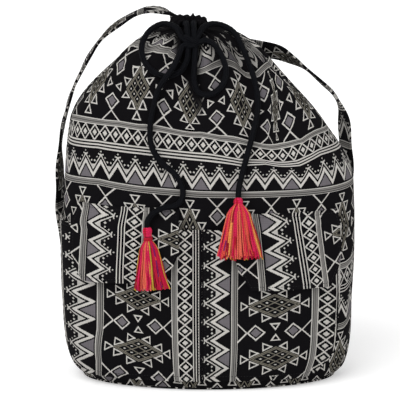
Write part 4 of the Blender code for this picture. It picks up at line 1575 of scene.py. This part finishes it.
    def hem(self, girth: Array, height: Array) -> Array:
        """Extra thickness of the turned-in edges, pinched where the stitches run.

        Args:
            girth: places along the girth.
            height: heights above the base panel.

        Returns:
            The extra thickness, in metres.
        """
        side, low, top = self.edge_distances(girth, height)
        edge = np.minimum(np.minimum(side, low), top)
        turned = self.turned_in * (1.0 - glide(edge, 0.0055, 0.0085))
        mouth = 0.0004 * (1.0 - glide(top, 0.012, 0.014))
        return turned - 0.0007 * bump(edge, 0.0035, self.stitch_width) + mouth

    def pocket(self) -> Piece:
        """The pocket's own cloth, hemmed along its mouth."""
        inner_edge, outer_edge = self.span
        edge = inner_edge + (outer_edge - inner_edge) * np.linspace(0.0, 1.0, self.columns + 1)
        if self.side is Side.LEFT:
            edge = edge[::-1]
        girth, rise = np.meshgrid(edge, np.linspace(0.0, 1.0, self.rows + 1) ** 0.92)
        low = self.floor(girth)
        height = low + (self.mouth - low) * rise
        turn = FORM.turn_at(girth)
        normal = FORM.normal(turn, height)
        lift = self.lift(girth, height) + self.slack(girth, height)
        inner = FORM.point(turn, height, billow(turn, height)) + normal * lift[..., None]
        outer = inner + normal * (FORM.cloth + self.hem(girth, height))[..., None]
        mesh = shell_mesh("front_pocket", outer, inner, self.cloth_place(girth, height))
        sew(mesh, [inset_loop(outer, 3, 3), outer[-10, 3:-3]], self.finishes)
        return self.dressed("front_pocket", mesh)

    def flap_lift(self, girth: Array, height: Array) -> Array:
        """How far the flap's inner face stands off the body.

        Args:
            girth: places along the girth.
            height: heights above the base panel.

        Returns:
            The distances, in metres.
        """
        top = self.flap_seat[1]
        over = self.lift(girth, np.minimum(height, self.mouth)) + FORM.cloth + 0.0016
        sewn = glide(height, self.mouth + 0.0015, top)
        hem = glide(top - self.flap_height * 0.35 - height, 0.0, self.flap_height * 0.65)
        return over * (1.0 - sewn) + 0.0004 * sewn + 0.003 * hem

    def flap(self) -> Piece:
        """The flap, with its lower corners cut off at a slant."""
        middle, top_edge = self.flap_seat
        above = self.flap_height * np.linspace(0.0, 1.0, self.flap_rows + 1)
        cut = self.flap_cut * np.maximum(1.0 - above / self.flap_cut_height, 0.0) ** 1.25
        half = (self.flap_width / 2 - cut)[:, None]
        share, above = np.meshgrid(np.linspace(-1.0, 1.0, self.flap_columns + 1), above)
        girth = middle + half * share
        height = top_edge - self.flap_height + above
        turn = FORM.turn_at(girth)
        normal = FORM.normal(turn, height)
        near_edge = np.minimum(half * (1.0 - np.abs(share)), above)
        top = top_edge - height
        curl = 0.0016 * np.sin(girth * 95 + 0.4) * glide(top, 0.02, self.flap_height)
        corner = 0.002 * (np.abs(share) ** 3) * glide(top, 0.04, self.flap_height)
        lift = self.flap_lift(girth, height) + curl + corner + 0.0016 * glide(top, 0.01, 0.05)
        inner = FORM.point(turn, height, billow(turn, height)) + normal * lift[..., None]
        pinch = 0.0005 * bump(np.minimum(near_edge, top), 0.0036, self.stitch_width)
        turned = self.turned_in * (1.0 - glide(near_edge, 0.006, 0.009))
        outer = inner + normal * (FORM.cloth + turned - pinch)[..., None]
        mesh = shell_mesh("pocket_flap", outer, inner, self.flap_place(girth, height))
        sew(mesh, [inset_loop(outer, 4, 3)], self.finishes)
        piece = self.dressed("pocket_flap", mesh)
        return piece

    def dressed(self, name: str, mesh: Mesh) -> Piece:
        """The piece of a mesh of this side."""
        node = f"{name}_{self.side.word}"
        return finished(node + "_cloth", mesh, [node], "printed_cloth", self.finishes.printed, self.finishes.thread)

    def build(self) -> list[Piece]:
        """Make and place the pocket and its flap."""
        return [self.pocket(), self.flap()]


@dataclass
class ShoulderStrap:
    """A folded cotton strap, sewn flat to the back at both ends.

    A row of an end gives an angle from the front's middle in degrees, a height and a lift off the bag. A row
    of the route gives its height, its place across and its depth, as shares of the bag's height and of its
    half width and half depth, and then the way that the strap's width points.
    """

    side: Side
    finishes: Finishes
    top_end: tuple[Place, ...]
    route: tuple[tuple[float, ...], ...]
    band_start: float
    width: float = 0.028
    thickness: float = 0.003
    seat: float = 0.0004
    across_steps: int = 22
    step: float = 0.0022
    low_end: tuple[Place, ...] = (
        (127.0, 0.104, 0.013), (129.0, 0.076, 0.004), (130.0, 0.052, 0.0), (131.0, 0.030, 0.0),
    )

    def seated(self, places: Sequence[Place], beside: Sequence[float], mirror: int = 1) -> Array:
        """Route points that lay an end flat on the bag's back.

        Args:
            places: the end's rows.
            beside: the way that the width points in the route's next row.
            mirror: -1 to lay them at the angles' mirror images.

        Returns:
            A place and a width direction for each.
        """
        turns, heights, lifts = np.array(places).T
        turns = np.radians(turns * mirror)
        normal = FORM.normal(turns, heights)
        lift = lifts + self.thickness / 2 + self.seat * 2
        points = FORM.point(turns, heights) + normal * lift[:, None]
        heading = np.concatenate([points[1:], points[-1:]]) - np.concatenate([points[:1], points[:-1]])
        across = unit(np.cross(normal, heading))
        return np.hstack([points, across * np.copysign(1.0, across @ beside)[:, None]])

    def line(self) -> tuple[Array, Array, Array]:
        """The strap's middle line, its width direction and its facing direction."""
        sizes = (FORM.height, FORM.width / 2, FORM.depth / 2, 1.0, 1.0, 1.0)
        free = (np.array(self.route) * sizes)[:, [1, 2, 0, 3, 4, 5]]
        top = self.seated(self.top_end, free[0, 3:])
        low = self.seated(self.low_end, free[-1, 3:], self.side.value)
        path = smooth_route(np.vstack([top, free, low]), self.step)
        middle, across = path[:, :3], path[:, 3:]
        heading = unit(np.gradient(middle, axis=0))
        across = unit(across - heading * np.sum(across * heading, axis=1, keepdims=True))
        return middle, across, np.cross(across, heading)

    def build(self) -> list[Piece]:
        """Make and place the strap."""
        middle, across, face = (column[:, None, :] for column in self.line())
        share, run = np.meshgrid(np.linspace(-1.0, 1.0, self.across_steps + 1), walked(middle[:, 0]))
        free = glide(np.minimum(run, run[-1] - run), 0.03, 0.08)
        raised = 0.0007 * free * np.sin(run * 120 + share * 2.0) + 0.00045 * free * (1.0 - share**2)
        wide = self.width / 2 * (1.0 + 0.015 * np.sin(run * 150 + 1.0))
        grid = middle + across * (wide * share)[..., None] + face * raised[..., None]
        near_edge = (1.0 - np.abs(share)) * self.width / 2
        pinch = (1.0 - 0.45 * bump(near_edge, 0.0032, 0.0012)) * (1.0 - 0.35 * bump(near_edge, 0.0, 0.0008))
        off = face * (self.thickness / 2 * pinch)[..., None]
        cloth = np.stack([share * self.width / 2 * MM, run * MM + self.band_start], axis=2)
        mesh = shell_mesh("shoulder_strap", grid + off, grid - off, cloth)
        sew(mesh, [side[:, k] for side in (grid + off, grid - off) for k in (3, -4)], self.finishes)
        node = f"shoulder_strap_{self.side.word}"
        return [finished(node + "_cloth", mesh, [node], "strap_cloth", self.finishes.strap, self.finishes.thread)]


LEFT_TOP_END = ((-172.0, 0.316, 0.0), (-171.0, 0.336, 0.0), (-170.0, 0.352, 0.002))
RIGHT_TOP_END = ((178.0, 0.358, 0.0), (166.0, 0.358, 0.0), (154.0, 0.358, 0.004))
LEFT_STRAP = (
    (0.925, -0.190, 0.72, 0.93, -0.36, 0.00),
    (0.965, -0.202, 0.71, 0.72, -0.69, 0.00),
    (0.996, -0.245, 0.69, 0.38, -0.92, 0.00),
    (1.010, -0.330, 0.68, 0.14, -0.99, 0.00),
    (1.010, -0.440, 0.68, 0.04, -1.00, 0.00),
    (0.988, -0.565, 0.68, -0.02, -1.00, 0.00),
    (0.932, -0.735, 0.70, -0.02, -1.00, 0.00),
    (0.850, -0.865, 0.70, -0.06, -1.00, 0.00),
    (0.760, -0.960, 0.68, -0.04, -1.00, 0.00),
    (0.660, -1.020, 0.65, -0.08, -0.99, 0.00),
    (0.560, -1.034, 0.62, -0.20, -0.98, 0.00),
    (0.470, -1.022, 0.63, -0.42, -0.91, 0.00),
    (0.370, -0.985, 0.68, -0.60, -0.80, 0.00),
)
RIGHT_STRAP = (
    (0.899, 0.310, 0.72, 0.08, -0.56, 0.82),
    (0.888, 0.460, 0.73, 0.12, -0.70, 0.70),
    (0.868, 0.565, 0.73, 0.10, -0.87, 0.48),
    (0.842, 0.665, 0.72, 0.03, -0.95, 0.30),
    (0.808, 0.762, 0.71, 0.00, -0.97, 0.23),
    (0.770, 0.858, 0.70, 0.08, -0.98, 0.18),
    (0.732, 0.912, 0.69, 0.22, -0.96, 0.10),
    (0.690, 0.935, 0.68, 0.40, -0.91, 0.02),
    (0.625, 0.945, 0.67, 0.50, -0.87, 0.00),
    (0.550, 0.950, 0.67, 0.52, -0.85, 0.00),
    (0.470, 0.948, 0.68, 0.54, -0.84, 0.00),
    (0.370, 0.925, 0.74, 0.60, -0.80, 0.00),
)


@dataclass
class Tassel:
    """A yarn tassel: wrapped head, wound binding and a flared skirt of strands.

    It hangs one way and its skirt's ends are draped another. The veil is how far the skirt's top reaches up
    over the binding.
    """

    side: Side
    finishes: Finishes
    place: Place
    hang: Place
    drape: Place
    seed: int
    head_size: float = 0.0135
    neck: float = 0.0094
    binding: float = 0.0045
    skirt: float = 0.056
    hem_width: float = 0.042
    hem_depth: float = 0.014
    strands: int = 170
    crown: float = 0.0046
    veil: float = 0.0006
    gap: float = 0.0003
    head_yarns: int = 22
    head_yarn: float = 0.00095
    wound_turns: int = 5
    wound_yarn: float = 0.00062
    skirt_yarn: float = 0.00078

    @cached_property
    def frame(self) -> Matrix:
        """A frame whose Z points back up the way that the tassel hangs, with X across the bag."""
        up = -Vector(self.hang).normalized()
        across = (Vector((1.0, 0.0, 0.0)) - up * up.x).normalized()
        made = Matrix((across, up.cross(across), up)).transposed().to_4x4()
        made.translation = self.place
        return made

    def spot(self, reach: float, turn: float, rise: float) -> tuple[float, ...]:
        """A place beside the tassel's own axis."""
        return tuple(self.frame @ Vector((reach * math.cos(turn), reach * math.sin(turn), rise)))

    def yarn_mesh(self, name: str, paths: Sequence[Array], radius: float) -> Mesh:
        """Several yarns as tubes in one mesh, each with its own strand values.

        Args:
            name: the mesh's name.
            paths: the yarns' middle lines, in place.
            radius: the yarn's radius.

        Returns:
            The mesh, with the strand attribute.
        """
        mesh = bpy.data.meshes.new(name)
        values: list[tuple[float, float, float]] = []
        picks = 0.03 + 0.2 * np.random.default_rng(self.seed).random(len(paths))
        with reshaped(mesh) as shape:
            for path, pick in zip(paths, picks):
                part = tube_mesh(name, path, lambda turn, run: np.full_like(turn, radius), 6)
                layer = part.uv_layers[CLOTH_MAP].data
                marks = {loop.vertex_index: layer[loop.index].uv for loop in part.loops}
                values += [(marks[k][1] * 20.0, float(pick), marks[k][0]) for k in range(len(part.vertices))]
                shape.from_mesh(part)
                bpy.data.meshes.remove(part)
        strand = mesh.attributes.new(STRAND, "FLOAT_VECTOR", "POINT")
        strand.data.foreach_set("vector", np.array(values, np.float32).ravel())
        return mesh

    def dressed(self, part: str, mesh: Mesh) -> Piece:
        """The piece of one part of the tassel."""
        node = f"{part}_{self.side.word}"
        return finished(node + "_yarn", mesh, [node], part + "_yarn", self.finishes.yarn)

    def head(self) -> Piece:
        """The head: yarns that run over the crown and down to the binding."""
        half = self.head_size / 2
        paths = []
        for turn in TURN * np.arange(self.head_yarns) / self.head_yarns:
            line = []
            for run in np.linspace(0.0, 1.0, 13):
                tilt = math.radians(8.0 + 152.0 * run)
                reach = (half * 0.80 - 0.0009) * math.sin(tilt) * (1.0 + 0.02 * math.sin(5 * turn))
                reach = max(reach, self.neck / 2 - 0.0009) if run > 0.5 else reach
                rise = self.crown if tilt < math.pi / 2 else half * 0.96
                line.append(self.spot(reach, turn + 0.25 * math.sin(tilt), rise * math.cos(tilt)))
            paths.append(np.array(line))
        mesh = self.yarn_mesh("tassel_head", paths, self.head_yarn)
        with reshaped(mesh) as shape:
            bmesh.ops.create_uvsphere(
                shape, u_segments=20, v_segments=12, radius=half * 0.76,
                matrix=self.frame @ Matrix.Translation((0, 0, -0.0012)) @ Matrix.Diagonal((1, 1, 0.8, 1)),
            )
        return self.dressed("tassel_head", mesh)

    def bound_neck(self) -> Piece:
        """The thread wound around the neck."""
        top = -self.head_size / 2 - self.gap
        reach = self.neck / 2 - 0.0001
        line = []
        for run in np.linspace(0.0, 1.0, self.wound_turns * 20 + 1):
            rise = top - 0.0006 - (self.binding - 0.0012) * run
            line.append(self.spot(reach, TURN * self.wound_turns * run, rise))
        mesh = self.yarn_mesh("tassel_binding", [np.array(line)], self.wound_yarn)
        with reshaped(mesh) as shape:
            bmesh.ops.create_cone(
                shape, cap_ends=True, segments=20, radius1=self.neck / 2 - 0.0002, radius2=self.neck / 2 - 0.0002,
                depth=self.binding, matrix=self.frame @ Matrix.Translation((0, 0, top - self.binding / 2)),
            )
        return self.dressed("tassel_binding", mesh)

    def skirt_piece(self, tree: Tree) -> Piece:
        """The strands, made by the strand tree and turned into a plain mesh.

        Args:
            tree: the geometry tree that grows the strands.

        Returns:
            The piece.
        """
        hang = Vector(self.hang).normalized()
        above = self.head_size / 2 + self.gap + self.binding + self.gap - self.veil
        values = {
            "Strands": self.strands,
            "Length": self.skirt + self.veil * 0.8,
            "Neck": self.neck / 2 - 0.0003,
            "Hem Width": self.hem_width / 2 - 0.0006,
            "Hem Depth": self.hem_depth / 2 - 0.0006,
            "Yarn": self.skirt_yarn,
            "Seed": self.seed,
            "Start": tuple(Vector(self.place) + hang * above),
            "Across": tuple(self.frame.col[0][:3]),
            "Back": tuple(self.frame.col[1][:3]),
            "Hang": tuple(hang),
            "Drape": tuple(Vector(self.drape).normalized()),
            "Finish": self.finishes.yarn,
        }
        return self.dressed("tassel_skirt", grown_mesh("tassel_skirt", tree, values))

    def build(self, tree: Tree) -> list[Piece]:
        """Make and place the tassel's three pieces."""
        return [self.head(), self.bound_neck(), self.skirt_piece(tree)]


def build_strand_tree() -> Tree:
    """Strands that leave a round neck and flare to a wide, flat hem.

    Returns:
        The geometry tree, with named inputs for its sizes.
    """
    takes = {
        "Strands": "Int", "Length": "Float", "Neck": "Float", "Hem Width": "Float", "Hem Depth": "Float",
        "Yarn": "Float", "Seed": "Int", "Start": "Vector", "Across": "Vector", "Back": "Vector",
        "Hang": "Vector", "Drape": "Vector", "Finish": "Material",
    }
    bench, take, leave = start_group("tassel_strands", takes, {"Geometry": "Geometry"}, "GeometryNodeTree")
    steps = 12
    line = bench.put("GeometryNodeCurvePrimitiveLine", {"End": (0.0, 0.0, 1.0)})
    even = bench.put("GeometryNodeResampleCurve", {"Curve": line, "Count": steps})
    points = bench.put("GeometryNodePoints", {"Count": take["Strands"]})
    spread = bench.put("GeometryNodeInstanceOnPoints", {"Points": points, "Instance": even})
    real = bench.put("GeometryNodeRealizeInstances", {0: spread})
    number = bench.put("GeometryNodeInputIndex")
    owner = bench.math("FLOOR", number / steps)
    run = number % steps / (steps - 1)

    def chance(low: float, high: float, salt: int) -> Term:
        """A random number for each strand."""
        drawn = {2: low, 3: high, "ID": owner, "Seed": take["Seed"] + salt}
        return bench.put("FunctionNodeRandomValue", drawn, out=1, data_type="FLOAT")

    golden = 2.399963
    angle = owner * golden + chance(-0.25, 0.25, 1)
    ring = bench.math("SQRT", (owner + 0.5) / take["Strands"])
    spot_x = ring * bench.math("COSINE", angle)
    spot_y = ring * bench.math("SINE", angle)
    cluster = bench.math("FLOOR", spot_x * 6.5 + chance(-0.35, 0.35, 8)) + spot_y.above(0.0) * 40.0
    shared = bench.put("FunctionNodeRandomValue", {"ID": cluster, "Seed": take["Seed"]}, out=1, data_type="FLOAT")
    hank = shared + chance(-0.03, 0.03, 6)
    flare = bench.math("SMOOTH_MIN", run * 0.74 + (run * 1.9).least(0.26), 1.0, 0.05)
    wave = bench.math("SINE", run * chance(4.0, 9.0, 2) + chance(0.0, 6.0, 3)) * run * chance(0.0002, 0.0013, 4)
    x = spot_x * (take["Neck"] + (take["Hem Width"] - take["Neck"]) * flare) + wave
    y = spot_y * (take["Neck"] + (take["Hem Depth"] - take["Neck"]) * flare) + wave * 0.6
    reach = run * take["Length"] * chance(0.90, 0.995, 5)
    bent = (run * run * 0.83 * run.below(0.6)).most((run - 0.3) * run.above(0.6)) / run.most(0.001)
    spot = take["Start"]
    for way, amount in (("Across", x), ("Back", y), ("Hang", reach * (1.0 - bent)), ("Drape", reach * bent)):
        spot = bench.put("ShaderNodeVectorMath", {0: spot, 1: bench.scaled(take[way], amount)}, operation="ADD")
    moved = bench.put("GeometryNodeSetPosition", {"Geometry": real, "Position": spot})
    marked = {"Geometry": moved, "Name": STRAND, "Value": bench.join(run, hank, run * 7.0)}
    told = bench.put("GeometryNodeStoreNamedAttribute", marked, data_type="FLOAT_VECTOR", domain="POINT")
    thin = bench.put("GeometryNodeSetCurveRadius", {"Curve": told, "Radius": take["Yarn"] * chance(0.8, 1.15, 7)})
    circle = bench.put("GeometryNodeCurvePrimitiveCircle", {"Resolution": 6, "Radius": 1.0})
    radius = bench.put("GeometryNodeInputRadius")
    swept = {"Curve": thin, "Profile Curve": circle, "Scale": radius, "Fill Caps": True}
    return bench.end_mesh(leave, bench.put("GeometryNodeCurveToMesh", swept), take["Finish"])


@dataclass
class Drawstring:
    """The braided cord: its run in the hem, two loops tied in a bow, and two tails.

    Each free length comes out of the hem into the knot, runs round a loop, through the knot again and down
    a tail on the other side.
    """

    finishes: Finishes
    diameter: float = CORD_WIDTH
    braid_pitch: float = 0.011
    braid_height: float = 0.00018
    step: float = 0.0011
    corners: int = 22
    knot_corners: int = 18
    knot: Place = (-0.0205, -0.0400, 0.3925)
    hem_level: float = 0.0034
    hem_opening_deg: float = 25.0
    hem_ends: tuple[tuple[float, float], ...] = ((-0.0173, -0.0195), (-0.0261, -0.0195))

    into_left: tuple[Place, ...] = (
        (-0.0259, -0.0205, 0.4110), (-0.0246, -0.0285, 0.4080), (-0.0240, -0.0362, 0.4015),
        (-0.0232, -0.0415, 0.3935),
    )
    loop_left: tuple[Place, ...] = (
        (-0.0235, -0.0440, 0.3840), (-0.0250, -0.0500, 0.3740), (-0.0325, -0.0560, 0.3625),
        (-0.0475, -0.0605, 0.3580), (-0.0620, -0.0580, 0.3625), (-0.0725, -0.0500, 0.3725),
        (-0.0757, -0.0358, 0.3872), (-0.0675, -0.0210, 0.4010), (-0.0520, -0.0130, 0.4080),
        (-0.0370, -0.0280, 0.4070), (-0.0295, -0.0395, 0.3975),
    )
    through_left: tuple[Place, ...] = ((-0.0210, -0.0440, 0.3935), (-0.0160, -0.0425, 0.3948))
    tail_right: tuple[Place, ...] = (
        (-0.0125, -0.0370, 0.3990), (-0.0070, -0.0260, 0.4065), (0.0010, -0.0170, 0.4085),
        (0.0090, -0.0120, 0.4075), (0.0170, -0.0110, 0.4050), (0.0248, -0.0135, 0.4010),
        (0.0310, -0.0195, 0.3955), (0.0362, -0.0280, 0.3865), (0.0445, -0.0365, 0.3685),
        (0.0520, -0.0450, 0.3460), (0.0550, -0.0560, 0.3230), (0.0505, -0.0705, 0.3000),
        (0.0430, -0.0820, 0.2730), (0.0360, -0.0872, 0.2470), (0.0335, -0.0900, 0.2365),
        (0.0328, -0.0938, 0.2287), (0.0328, -0.0956, 0.2245),
    )
    into_right: tuple[Place, ...] = (
        (-0.0175, -0.0205, 0.4110), (-0.0172, -0.0285, 0.4080), (-0.0170, -0.0362, 0.4015),
        (-0.0162, -0.0415, 0.3935),
    )
    loop_right: tuple[Place, ...] = (
        (-0.0155, -0.0440, 0.3840), (-0.0165, -0.0500, 0.3690), (-0.0165, -0.0580, 0.3510),
        (-0.0110, -0.0635, 0.3395), (0.0020, -0.0655, 0.3385), (0.0140, -0.0635, 0.3475),
        (0.0190, -0.0570, 0.3620), (0.0150, -0.0500, 0.3770), (0.0070, -0.0430, 0.3890),
        (-0.0030, -0.0400, 0.3945), (-0.0114, -0.0415, 0.3930),
    )
    through_right: tuple[Place, ...] = ((-0.0190, -0.0440, 0.3920), (-0.0258, -0.0440, 0.3905))
    tail_left: tuple[Place, ...] = (
        (-0.0302, -0.0440, 0.3880), (-0.0350, -0.0540, 0.3778), (-0.0420, -0.0645, 0.3670),
        (-0.0500, -0.0685, 0.3560), (-0.0570, -0.0675, 0.3440), (-0.0617, -0.0705, 0.3280),
        (-0.0662, -0.0758, 0.3030), (-0.0642, -0.0797, 0.2805), (-0.0530, -0.0834, 0.2640),
        (-0.0370, -0.0864, 0.2495), (-0.0300, -0.0880, 0.2355), (-0.0307, -0.0890, 0.2225),
        (-0.0390, -0.0905, 0.2155), (-0.0520, -0.0920, 0.2135), (-0.0625, -0.0960, 0.2085),
        (-0.0676, -0.1012, 0.2036), (-0.0694, -0.1040, 0.1990), (-0.0694, -0.1046, 0.1935),
    )

    def braid_radius(self, turn: Array, run: Array) -> Array:
        """The cord's radius, with the braid standing a little proud.

        Args:
            turn: turn around the cord, 0 to 1.
            run: length along it.

        Returns:
            The radius at each place.
        """
        one = np.sin(TURN * (4 * turn + run / self.braid_pitch))
        other = np.sin(TURN * (4 * turn - run / self.braid_pitch))
        return self.diameter / 2 * 1.1 + self.braid_height * (one * other)

    def tight_radius(self, turn: Array, run: Array) -> Array:
        """The radius of cord that is drawn tight in the knot."""
        return self.braid_radius(turn, run) * 0.88

    def cord_piece(self, name: str, route: Sequence[Place], nodes: Sequence[str]) -> tuple[Piece, Array]:
        """One length of cord along its route.

        Args:
            name: the piece's name.
            route: the points that it runs through.
            nodes: the CAD nodes that it replaces.

        Returns:
            The piece and its middle line.
        """
        path = smooth_route(route, self.step)
        mesh = tube_mesh(name, path, self.braid_radius, self.corners)
        return finished(name, mesh, nodes, "cord", self.finishes.cord, sharp_deg=60.0), path

    def hem_run(self) -> Piece:
        """The cord inside the hem, both ends at its slot."""
        level = FORM.floor + FORM.height + self.hem_level
        opening = math.radians(self.hem_opening_deg)
        start, end = ((x, y, level - mouth_sink(0.0) - 0.0004) for x, y in self.hem_ends)
        around = [
            (FORM.mouth_shift + CORD_RING * math.sin(turn), -CORD_RING * math.cos(turn), level - mouth_sink(turn))
            for turn in np.linspace(opening, TURN - opening, 17)
        ]
        return self.cord_piece("cord_in_hem", [start, *around, end], ["drawstring_channel_run"])[0]

    def knot_piece(self) -> Piece:
        """The knot: two turns of cord drawn tight over a core."""
        centre = Vector(self.knot)
        mesh = bpy.data.meshes.new("bow_knot")
        with reshaped(mesh) as shape:
            for tilt_deg, rise, wide, deep in ((24.0, 0.0030, 0.0078, 0.0052), (-22.0, -0.0032, 0.0074, 0.0050)):
                lean = Matrix.Rotation(math.radians(tilt_deg), 4, "Y")
                line = []
                for turn in np.linspace(0.0, TURN, 61):
                    spot = (wide * math.cos(turn), deep * math.sin(turn), rise + 0.0006 * math.sin(2 * turn))
                    line.append(tuple(centre + lean @ Vector(spot)))
                part = tube_mesh("turn", np.array(line), self.tight_radius, self.knot_corners)
                shape.from_mesh(part)
                bpy.data.meshes.remove(part)
            bmesh.ops.create_uvsphere(
                shape, u_segments=24, v_segments=16, radius=0.0062,
                matrix=Matrix.Translation(centre) @ Matrix.Diagonal((1.15, 0.9, 1.05, 1.0)),
            )
        return finished("bow_knot", mesh, ["drawstring_knot"], "cord", self.finishes.cord)

    def build(self, tassels: dict[Side, list[Piece]]) -> list[Piece]:
        """Make and place the cord, its knot and its two free lengths.

        Args:
            tassels: each side's tassel pieces.

        Returns:
            The pieces.
        """
        pieces = [self.hem_run(), self.knot_piece()]
        one = (*self.into_left, *self.loop_left, *self.through_left, *self.tail_right)
        two = (*self.into_right, *self.loop_right, *self.through_right, *self.tail_left)
        jobs = (
            ("cord_left_loop_right_tail", one, Side.RIGHT, ("bow_loop_left", "cord_tail_right"), pieces[1:]),
            ("cord_right_loop_left_tail", two, Side.LEFT, ("bow_loop_right", "cord_tail_left"), []),
        )
        for name, route, end, nodes, extra in jobs:
            piece, path = self.cord_piece(name, route, nodes)
            extra + tassels[end]
            pieces.append(piece)
        return pieces


@dataclass(frozen=True)
class Stage:
    """Floor, light and camera, the camera set by the picture's scale and the bag's place in it."""

    scale: float = 0.001135
    middle_px: float = 209.0
    floor_px: float = 373.0
    half_px: float = 200.0
    elevation_deg: float = 13.0
    distance: float = 12.0
    sensor_mm: float = 36.0
    floor_reach: float = 8.0
    floor_level: float = -0.0002
    floor_grey: float = 0.92
    floor_glow: float = 0.34
    room_light: float = 0.58
    room_mirrored: float = 0.75

    def camera(self) -> None:
        """A long lens a little above the bag, square to its front."""
        lift = math.radians(self.elevation_deg)
        view = Vector((0.0, math.cos(lift), -math.sin(lift)))
        up = Vector((0.0, math.sin(lift), math.cos(lift)))
        across = (self.half_px - self.middle_px) * self.scale
        target = Vector((across, 0.0, 0.0)) + up * ((self.floor_px - self.half_px) * self.scale)
        data = bpy.data.cameras.new("camera")
        data.sensor_width = self.sensor_mm
        data.lens = self.sensor_mm * self.distance / (2 * self.half_px * self.scale)
        data.clip_end = 50.0
        made = placed("camera", data)
        made.location = target - view * self.distance
        made.rotation_euler = (math.pi / 2 - lift, 0.0, 0.0)
        bpy.context.scene.camera = made

    def sun(self, name: str, towards: Place, strength: float, angle_deg: float) -> None:
        """A soft far light.

        Args:
            name: the light's name.
            towards: the way it shines.
            strength: its strength.
            angle_deg: its angular size.
        """
        data = bpy.data.lights.new(name, "SUN")
        data.energy = strength
        data.angle = math.radians(angle_deg)
        placed(name, data).rotation_euler = Vector(towards).to_track_quat("-Z", "Y").to_euler()

    def light(self) -> None:
        """A soft key from the upper left, a weaker fill, and a pale room."""
        self.sun("key", (0.45, 0.75, -0.75), 1.75, 50.0)
        self.sun("fill", (-0.8, 0.55, -0.35), 0.5, 70.0)
        world = bpy.data.worlds.new("studio")
        bpy.context.scene.world = world
        world.use_nodes = True
        bench = NodeBench(world.node_tree)
        shade = world.node_tree.nodes["Background"]
        shade.inputs["Color"].default_value = (1.0, 1.0, 1.0, 1.0)
        path = bench.node("ShaderNodeLightPath")
        camera, through, mirrored = (
            Term(bench, path.outputs[f"Is {ray} Ray"]) for ray in ("Camera", "Transmission", "Glossy")
        )
        seen = camera.most(through).most(mirrored * self.room_mirrored)
        bench.feed(shade.inputs["Strength"], seen.most(self.room_light))

    def floor(self) -> None:
        """A pale floor that keeps the bag's shadow."""
        mesh = bpy.data.meshes.new("floor")
        signs = ((-1, -1), (1, -1), (1, 1), (-1, 1))
        corners = [(x * self.floor_reach, y * self.floor_reach, self.floor_level) for x, y in signs]
        mesh.from_pydata(corners, [], [(0, 1, 2, 3)])
        paint, bench = Finish("pale_floor", roughness=0.9, specular=0.0).start()
        shader = paint.node_tree.nodes["Principled BSDF"]
        bench.feed(shader.inputs["Base Color"], (self.floor_grey,) * 3)
        bench.feed(shader.inputs["Emission Color"], (1.0, 1.0, 1.0))
        seen = bench.put("ShaderNodeLightPath", out="Is Camera Ray")
        bench.feed(shader.inputs["Emission Strength"], seen * self.floor_glow)
        mesh.materials.append(paint)
        placed("floor", mesh)

    def build(self) -> None:
        """Set the whole stage."""
        self.camera()
        self.light()
        self.floor()
        bpy.context.scene.view_settings.view_transform = "Standard"


def settle(pieces: Sequence[Piece]) -> None:
    """Ride every piece on the bag's one body and report it."""
    for piece in pieces:
        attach(piece, "root")
        LOG.info("%s: %d faces", piece.name, len(piece.data.polygons))


def main() -> None:
    """Build every piece of the backpack in order."""
    logging.basicConfig(level=logging.INFO, format="%(name)s: %(message)s")
    Stage().build()
    finishes = Finishes()
    strands = build_strand_tree()
    left, right = (
        Tassel(Side.LEFT, finishes, (-0.0692, -0.1050, 0.1900), (0.075, -0.090, -0.990), (0.075, -0.090, -0.990), 11),
        Tassel(
            Side.RIGHT, finishes, (0.0329, -0.0965, 0.2218), (0.030, -0.375, -0.926), (0.030, -0.170, -0.985), 23,
            hem_width=0.055, veil=0.0085,
        ),
    )
    tassels = {tassel.side: tassel.build(strands) for tassel in (left, right)}
    pieces = Drawstring(finishes).build(tassels)
    pieces += tassels[Side.LEFT] + tassels[Side.RIGHT]
    pieces += BodyShell(finishes).build()
    pieces += MouthHem(finishes).build()
    for side in Side:
        pieces += FrontPocket(side, finishes).build()
    pieces += ShoulderStrap(Side.LEFT, finishes, LEFT_TOP_END, LEFT_STRAP, 40.0).build()
    pieces += ShoulderStrap(Side.RIGHT, finishes, RIGHT_TOP_END, RIGHT_STRAP, 95.0).build()
    settle(pieces)


if __name__ == "__main__":
    main()
